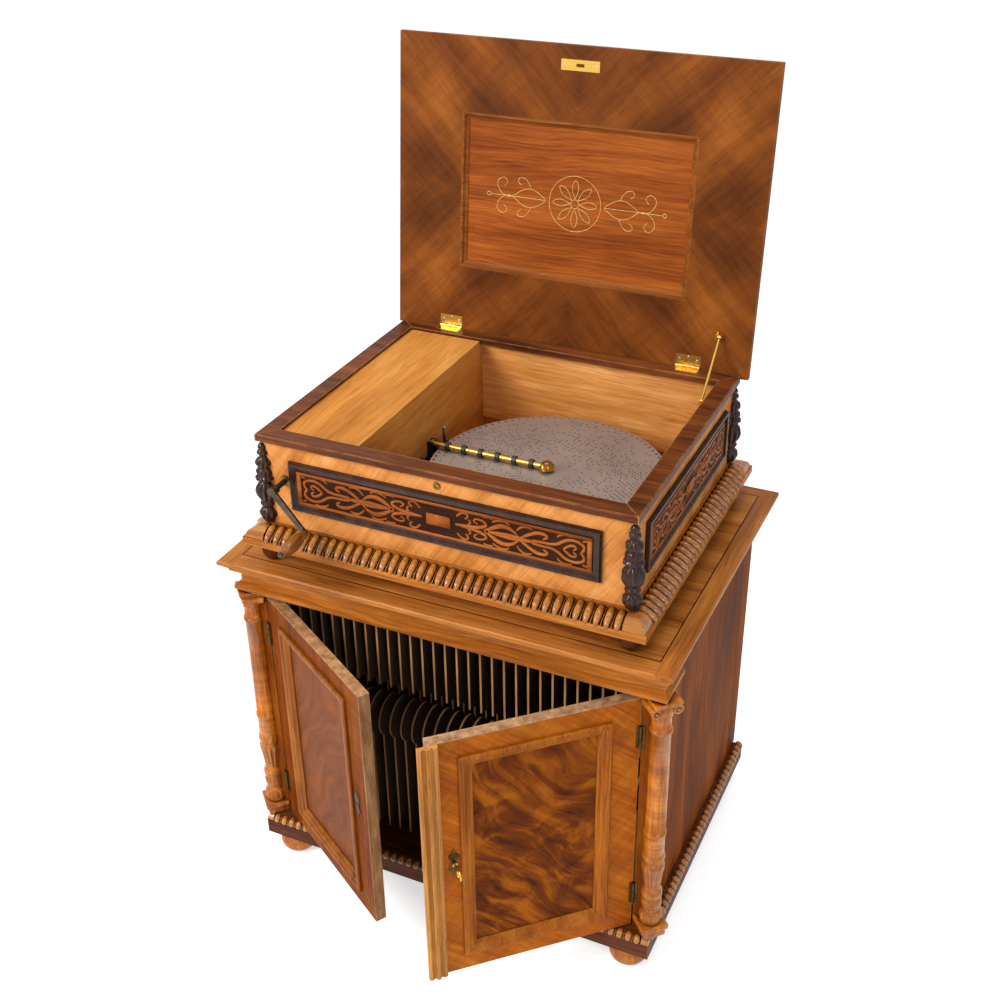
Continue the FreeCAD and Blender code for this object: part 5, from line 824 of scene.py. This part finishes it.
def column_form():
    """The right column in place: block, plates, shaft, leaves and capital."""
    form = column_shaft()
    plate(form, 0.84 * PLATE_HALF, 0.0985, 0.116, 0.002)
    plate(form, PLATE_HALF, 0.116, PEDESTAL_TOP, 0.0025)
    plate(form, 0.92 * PLATE_HALF, NECK + 0.033, NECK + 0.037, 0.001)
    plate(form, PLATE_HALF, NECK + 0.0375, NECK + 0.0455, 0.0025)
    out = Vector((1, -1, 0)).normalized()
    along = Vector((1, 1, 0)).normalized()
    for side in (-1, 1):
        centre = along * (side * 0.55 * PLATE_HALF) + out * 0.001
        centre.z = NECK + 0.0245
        scroll(form, centre, out, 0.0098, 1.1 * PLATE_HALF)
    bmesh.ops.translate(form, verts=form.verts, vec=(COLUMN_X, COLUMN_Y, 0))
    for normal, point in ((Vector((-1, 0, 0)), (0.3855, 0, 0)), (Vector((0, 1, 0)), (0, -0.262, 0))):
        bmesh.ops.bisect_plane(form, geom=form.verts[:] + form.edges[:] + form.faces[:], plane_co=point,
                               plane_no=normal, clear_outer=normal.x < 0)
    return form


def columns():
    """Both cabinet columns."""
    whole = bmesh.new()
    right = mesh_of("right column", column_form())
    whole.from_mesh(right)
    other = bmesh.new()
    other.from_mesh(right)
    bmesh.ops.scale(other, vec=(-1, 1, 1), verts=other.verts)
    bmesh.ops.reverse_faces(other, faces=other.faces)
    left = bpy.data.meshes.new("left column")
    other.to_mesh(left)
    other.free()
    whole.from_mesh(left)
    for spare in (left, right):
        bpy.data.meshes.remove(spare)
    mesh = bpy.data.meshes.new("turned_columns")
    whole.to_mesh(mesh)
    whole.free()
    piece = new_piece("turned_columns", mesh, "stand_and_case", finish["column"])
    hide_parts("cabinet_columns")
    return piece


columns()


# Carving

def stroke(curve, points, flat=1.0):
    """One carved stroke from (across, up, width) points."""
    spline = curve.splines.new("NURBS")
    spline.points.add(len(points) - 1)
    for knot, (u, v, width) in zip(spline.points, points):
        knot.co = (u, v, 0, 1)
        knot.radius = width
    spline.order_u = 3
    spline.use_endpoint_u = True


def ring_stroke(curve, u, v, radius, width):
    """A closed ring."""
    spline = curve.splines.new("NURBS")
    spline.points.add(7)
    for i, knot in enumerate(spline.points):
        angle = math.pi * i / 4
        knot.co = (u + radius * math.cos(angle), v + radius * math.sin(angle), 0, 1)
        knot.radius = width
    spline.order_u = 3
    spline.use_cyclic_u = True


# One quarter of the carving, in shares of the half length and of the half height, with stroke widths
QUARTER = [
    [(0.115, 0.00, 0.7), (0.19, 0.03, 1.2), (0.27, 0.10, 1.3), (0.33, 0.32, 1.0), (0.30, 0.58, 0.8),
     (0.245, 0.60, 0.7), (0.235, 0.38, 0.7), (0.265, 0.30, 0.4)],
    [(0.125, 0.50, 0.6), (0.15, 0.78, 0.9), (0.19, 0.80, 0.8), (0.205, 0.60, 0.8), (0.18, 0.45, 0.5)],
    [(0.20, 0.12, 0.9), (0.23, 0.30, 0.9), (0.20, 0.44, 0.4)],
    [(0.33, 0.10, 1.0), (0.385, 0.42, 1.7), (0.44, 0.56, 1.6), (0.50, 0.40, 1.1), (0.53, 0.12, 0.6)],
    [(0.36, 0.62, 0.5), (0.40, 0.84, 1.0), (0.455, 0.84, 0.8), (0.47, 0.68, 0.5)],
    [(0.30, 0.78, 0.5), (0.335, 0.88, 0.8), (0.365, 0.78, 0.5)],
    [(0.34, 0.0, 0.8), (0.44, 0.10, 1.2), (0.55, 0.05, 1.3), (0.62, 0.0, 0.9)],
    [(0.55, 0.10, 0.9), (0.60, 0.40, 1.2), (0.655, 0.62, 1.3), (0.71, 0.60, 1.1), (0.72, 0.40, 0.9),
     (0.69, 0.30, 0.6)],
    [(0.52, 0.44, 0.5), (0.545, 0.74, 1.0), (0.59, 0.84, 0.9), (0.62, 0.72, 0.5)],
    [(0.62, 0.06, 1.0), (0.68, 0.12, 1.0), (0.74, 0.10, 0.9), (0.79, 0.24, 1.1), (0.83, 0.55, 1.1),
     (0.89, 0.66, 1.0), (0.945, 0.50, 1.0), (0.955, 0.22, 0.9), (0.93, 0.0, 0.8)],
    [(0.78, 0.62, 0.5), (0.80, 0.84, 0.9), (0.855, 0.88, 0.8), (0.875, 0.80, 0.5)],
    [(0.82, 0.0, 0.7), (0.85, 0.26, 1.0), (0.89, 0.34, 0.9), (0.905, 0.16, 0.7), (0.88, 0.05, 0.5)],
    [(0.94, 0.66, 0.5), (0.965, 0.80, 0.8), (0.985, 0.70, 0.4)],
]


def carving(name, half_length, half_height, place):
    """The pierced-looking foliage over the dark ground, from one quarter mirrored both ways."""
    curve = bpy.data.curves.new(name, "CURVE")
    curve.dimensions = "3D"
    curve.bevel_depth = 0.0030
    curve.bevel_resolution = 1
    curve.resolution_u = 5
    for side in (-1, 1):
        for end in (-1, 1):
            for quarter in QUARTER:
                stroke(curve, [(side * u * half_length, end * v * half_height, w) for u, v, w in quarter])
    ring_stroke(curve, 0.325 * half_length, 0, 0.0045, 0.6)
    ring_stroke(curve, -0.325 * half_length, 0, 0.0045, 0.6)
    source = bpy.data.objects.new(name + "_line", curve)
    scene.collection.objects.link(source)
    bpy.context.view_layer.update()
    mesh = bpy.data.meshes.new_from_object(source)
    bpy.data.objects.remove(source)
    form = bmesh.new()
    form.from_mesh(mesh)
    bpy.data.meshes.remove(mesh)
    bmesh.ops.scale(form, vec=(1, 1, 0.62), verts=form.verts)
    framed = (
        (0, 0, 0.046, 0.022, 0.0024),
        (0, 0.92 * half_height, 2 * half_length, 0.16 * half_height, 0.0018),
        (0, -0.92 * half_height, 2 * half_length, 0.16 * half_height, 0.0018),
        (0.985 * half_length, 0, 0.03 * half_length, 1.68 * half_height, 0.0018),
        (-0.985 * half_length, 0, 0.03 * half_length, 1.68 * half_height, 0.0018),
    )
    for u, v, width, height, rise in framed:
        made = bmesh.ops.create_cube(form, size=1.0)
        bmesh.ops.scale(form, vec=(width, height, rise), verts=made["verts"])
        bmesh.ops.translate(form, verts=made["verts"], vec=(u, v, rise / 2))
    bmesh.ops.transform(form, matrix=place, verts=form.verts)
    bmesh.ops.recalc_face_normals(form, faces=form.faces)
    carved = bpy.data.meshes.new(name)
    form.to_mesh(carved)
    form.free()
    return new_piece(name, carved, "stand_and_case", finish["carving"])


FACE_FRONT = Matrix.Translation((0, -PANEL_FACE, PANEL_Z)) @ turned_matrix(90, "X")
FACE_RIGHT = Matrix.Translation((0.360, -0.0025, PANEL_Z)) @ turned_matrix(90, "Z") @ turned_matrix(90, "X")
FACE_LEFT = Matrix.Translation((-0.360, -0.0025, PANEL_Z)) @ turned_matrix(-90, "Z") @ turned_matrix(90, "X")
carving("front_carving", 0.2845, 0.0335, FACE_FRONT)
carving("right_carving", 0.2085, 0.0335, FACE_RIGHT)
carving("left_carving", 0.2085, 0.0335, FACE_LEFT)


# Lid inlay

# Lines of the lid's inlay, in metres from its middle
INLAY_TENDRIL = ((0.062, 0.002), (0.085, 0.020), (0.112, 0.016), (0.135, -0.004), (0.158, 0.004),
                 (0.168, 0.026), (0.152, 0.038), (0.140, 0.026), (0.150, 0.018))
INLAY_CURL = ((0.092, 0.018), (0.100, 0.036), (0.118, 0.040), (0.122, 0.028), (0.113, 0.024))


def lid_inlay():
    """A gold line ornament of the builder's own: a ring of petals with two trailing scrolls."""
    curve = bpy.data.curves.new("lid_inlay", "CURVE")
    curve.dimensions = "3D"
    curve.bevel_depth = 0.00055
    curve.bevel_resolution = 0
    curve.resolution_u = 6
    for i in range(8):
        angle = math.pi * i / 4
        points = []
        for reach, side in ((0.010, 0.0), (0.024, 0.007), (0.038, 0.006), (0.048, 0.0), (0.038, -0.006),
                            (0.024, -0.007), (0.010, 0.0)):
            u = reach * math.cos(angle) - side * math.sin(angle)
            v = reach * math.sin(angle) + side * math.cos(angle)
            points.append((u, v, 1.0))
        stroke(curve, points)
    ring_stroke(curve, 0, 0, 0.009, 1.0)
    ring_stroke(curve, 0, 0, 0.058, 1.0)
    for side in (-1, 1):
        for end in (-1, 1):
            for line in (INLAY_TENDRIL, INLAY_CURL):
                stroke(curve, [(side * u, end * v, 1.0) for u, v in line])
        stroke(curve, [(side * u, v, 1.0) for u, v in ((0.060, 0.0), (0.120, 0.0), (0.178, 0.0))])
        ring_stroke(curve, side * 0.183, 0, 0.004, 1.0)
    source = bpy.data.objects.new("inlay_line", curve)
    scene.collection.objects.link(source)
    bpy.context.view_layer.update()
    mesh = bpy.data.meshes.new_from_object(source)
    bpy.data.objects.remove(source)
    form = bmesh.new()
    form.from_mesh(mesh)
    bpy.data.meshes.remove(mesh)
    bmesh.ops.scale(form, vec=(1, 1, 0.3), verts=form.verts)
    panel = Matrix.Translation((0, -LID_MIDDLE, 0.0093)) @ turned_matrix(180, "X")
    bmesh.ops.transform(form, matrix=lid_place() @ panel, verts=form.verts)
    bmesh.ops.recalc_face_normals(form, faces=form.faces)
    lines = bpy.data.meshes.new("lid_inlay")
    form.to_mesh(lines)
    form.free()
    return new_piece("lid_inlay", lines, "lid", finish["gold"])


lid_inlay()


# Screws

def screw_form(form, place, radius):
    """A flush screw head."""
    outline = [(0.0, 0.00012), (0.7 * radius, 0.0001), (radius, 0.00002), (radius, -0.0005), (0.0, -0.0005)]
    head = bmesh.new()
    spin_outline(head, outline, 12)
    bmesh.ops.transform(head, matrix=place, verts=head.verts)
    one = mesh_of("one screw", head)
    form.from_mesh(one)
    bpy.data.meshes.remove(one)


def screws(name, body, places, radius=SCREW_RADIUS):
    """A set of screws on one body."""
    form = bmesh.new()
    for place in places:
        screw_form(form, place, radius)
    return new_piece(name, mesh_of(name, form), body, finish["screw"])


def lid_screws():
    """Screws of the keeper plate and of the lid's hinge leaves."""
    places = []
    for side in (-1, 1):
        spot = Matrix.Translation((side * KEEPER_SCREW[0], KEEPER_SCREW[1], 0.0))
        places.append(lid_place() @ spot @ turned_matrix(180, "X"))
    for side in (-1, 1):
        for step, back in ((-1, 0.013), (0, 0.019), (1, 0.013)):
            spot = Matrix.Translation((side * HINGE_X + step * HINGE_SCREW_SPREAD, -back, 0.0001))
            places.append(lid_place() @ spot @ turned_matrix(180, "X"))
    return places


def rim_screws():
    """Screws of the hinge leaves in the rim."""
    places = []
    for side in (-1, 1):
        for step, y in ((-1, 0.2755), (0, 0.2695), (1, 0.2755)):
            places.append(Matrix.Translation((side * HINGE_X + step * HINGE_SCREW_SPREAD, y, RIM_SCREW_Z)))
    return places


screws("lid_screws", "lid", lid_screws())
screws("rim_screws", "stand_and_case", rim_screws())
latch_place = Matrix.Translation((DISC[0], DISC[1], LATCH_SCREW_Z))
screws("latch_screw", "centre_latch", [latch_place], LATCH_SCREW_RADIUS)


# Light, floor and camera

def seen_rays(tree):
    """One for the rays that show a thing directly, in a mirror or through glass."""
    path = add(tree, "ShaderNodeLightPath")
    seen = calc(tree, "MAXIMUM", path.outputs["Is Camera Ray"], path.outputs["Is Glossy Ray"])
    return calc(tree, "MAXIMUM", seen, path.outputs["Is Transmission Ray"])


def studio():
    """A pale floor, soft light and a white surround."""
    floor_form = bmesh.new()
    bmesh.ops.create_grid(floor_form, x_segments=1, y_segments=1, size=14.0)
    floor_mesh = mesh_of("floor", floor_form)
    floor = bpy.data.objects.new("floor", floor_mesh)
    scene.collection.objects.link(floor)
    paint, tree, shader, _vector = new_finish("floor")
    shader.inputs["Base Color"].default_value = (0.88, 0.88, 0.88, 1)
    shader.inputs["Roughness"].default_value = 0.9
    shader.inputs["Specular IOR Level"].default_value = 0.0
    shader.inputs["Emission Color"].default_value = (1, 1, 1, 1)
    lift = calc(tree, "MULTIPLY", seen_rays(tree), 0.60)
    tree.links.new(lift, shader.inputs["Emission Strength"])
    floor_mesh.materials.append(paint)
    world = bpy.data.worlds.new("studio")
    scene.world = world
    world.use_nodes = True
    sky = world.node_tree
    background = sky.nodes["Background"]
    sky.links.new(calc(sky, "MULTIPLY_ADD", seen_rays(sky), 0.55, 0.45), background.inputs["Strength"])
    background.inputs["Color"].default_value = (1, 1, 1, 1)
    lamps = (
        ("key", (-1.8, -2.8, 3.0), 1.6, 135.0),
        ("fill", (2.6, -2.4, 1.8), 1.4, 20.0),
        ("top", (0.3, 0.4, 3.6), 1.8, 40.0),
    )
    for name, place, size, power in lamps:
        data = bpy.data.lights.new(name, "AREA")
        data.size = size
        data.energy = power
        lamp = bpy.data.objects.new(name, data)
        scene.collection.objects.link(lamp)
        lamp.location = place
        aim = Vector((0, 0, 0.75)) - lamp.location
        lamp.rotation_euler = aim.to_track_quat("-Z", "Y").to_euler()


def photo_camera():
    """The camera at the photograph's place."""
    data = bpy.data.cameras.new("camera")
    data.lens = CAMERA_LENS
    data.sensor_width = 36.0
    camera = bpy.data.objects.new("camera", data)
    scene.collection.objects.link(camera)
    camera.location = CAMERA_PLACE
    camera.rotation_euler = [math.radians(a) for a in CAMERA_TURN]
    scene.camera = camera


photo_camera()
studio()
scene.view_settings.view_transform = "Standard"
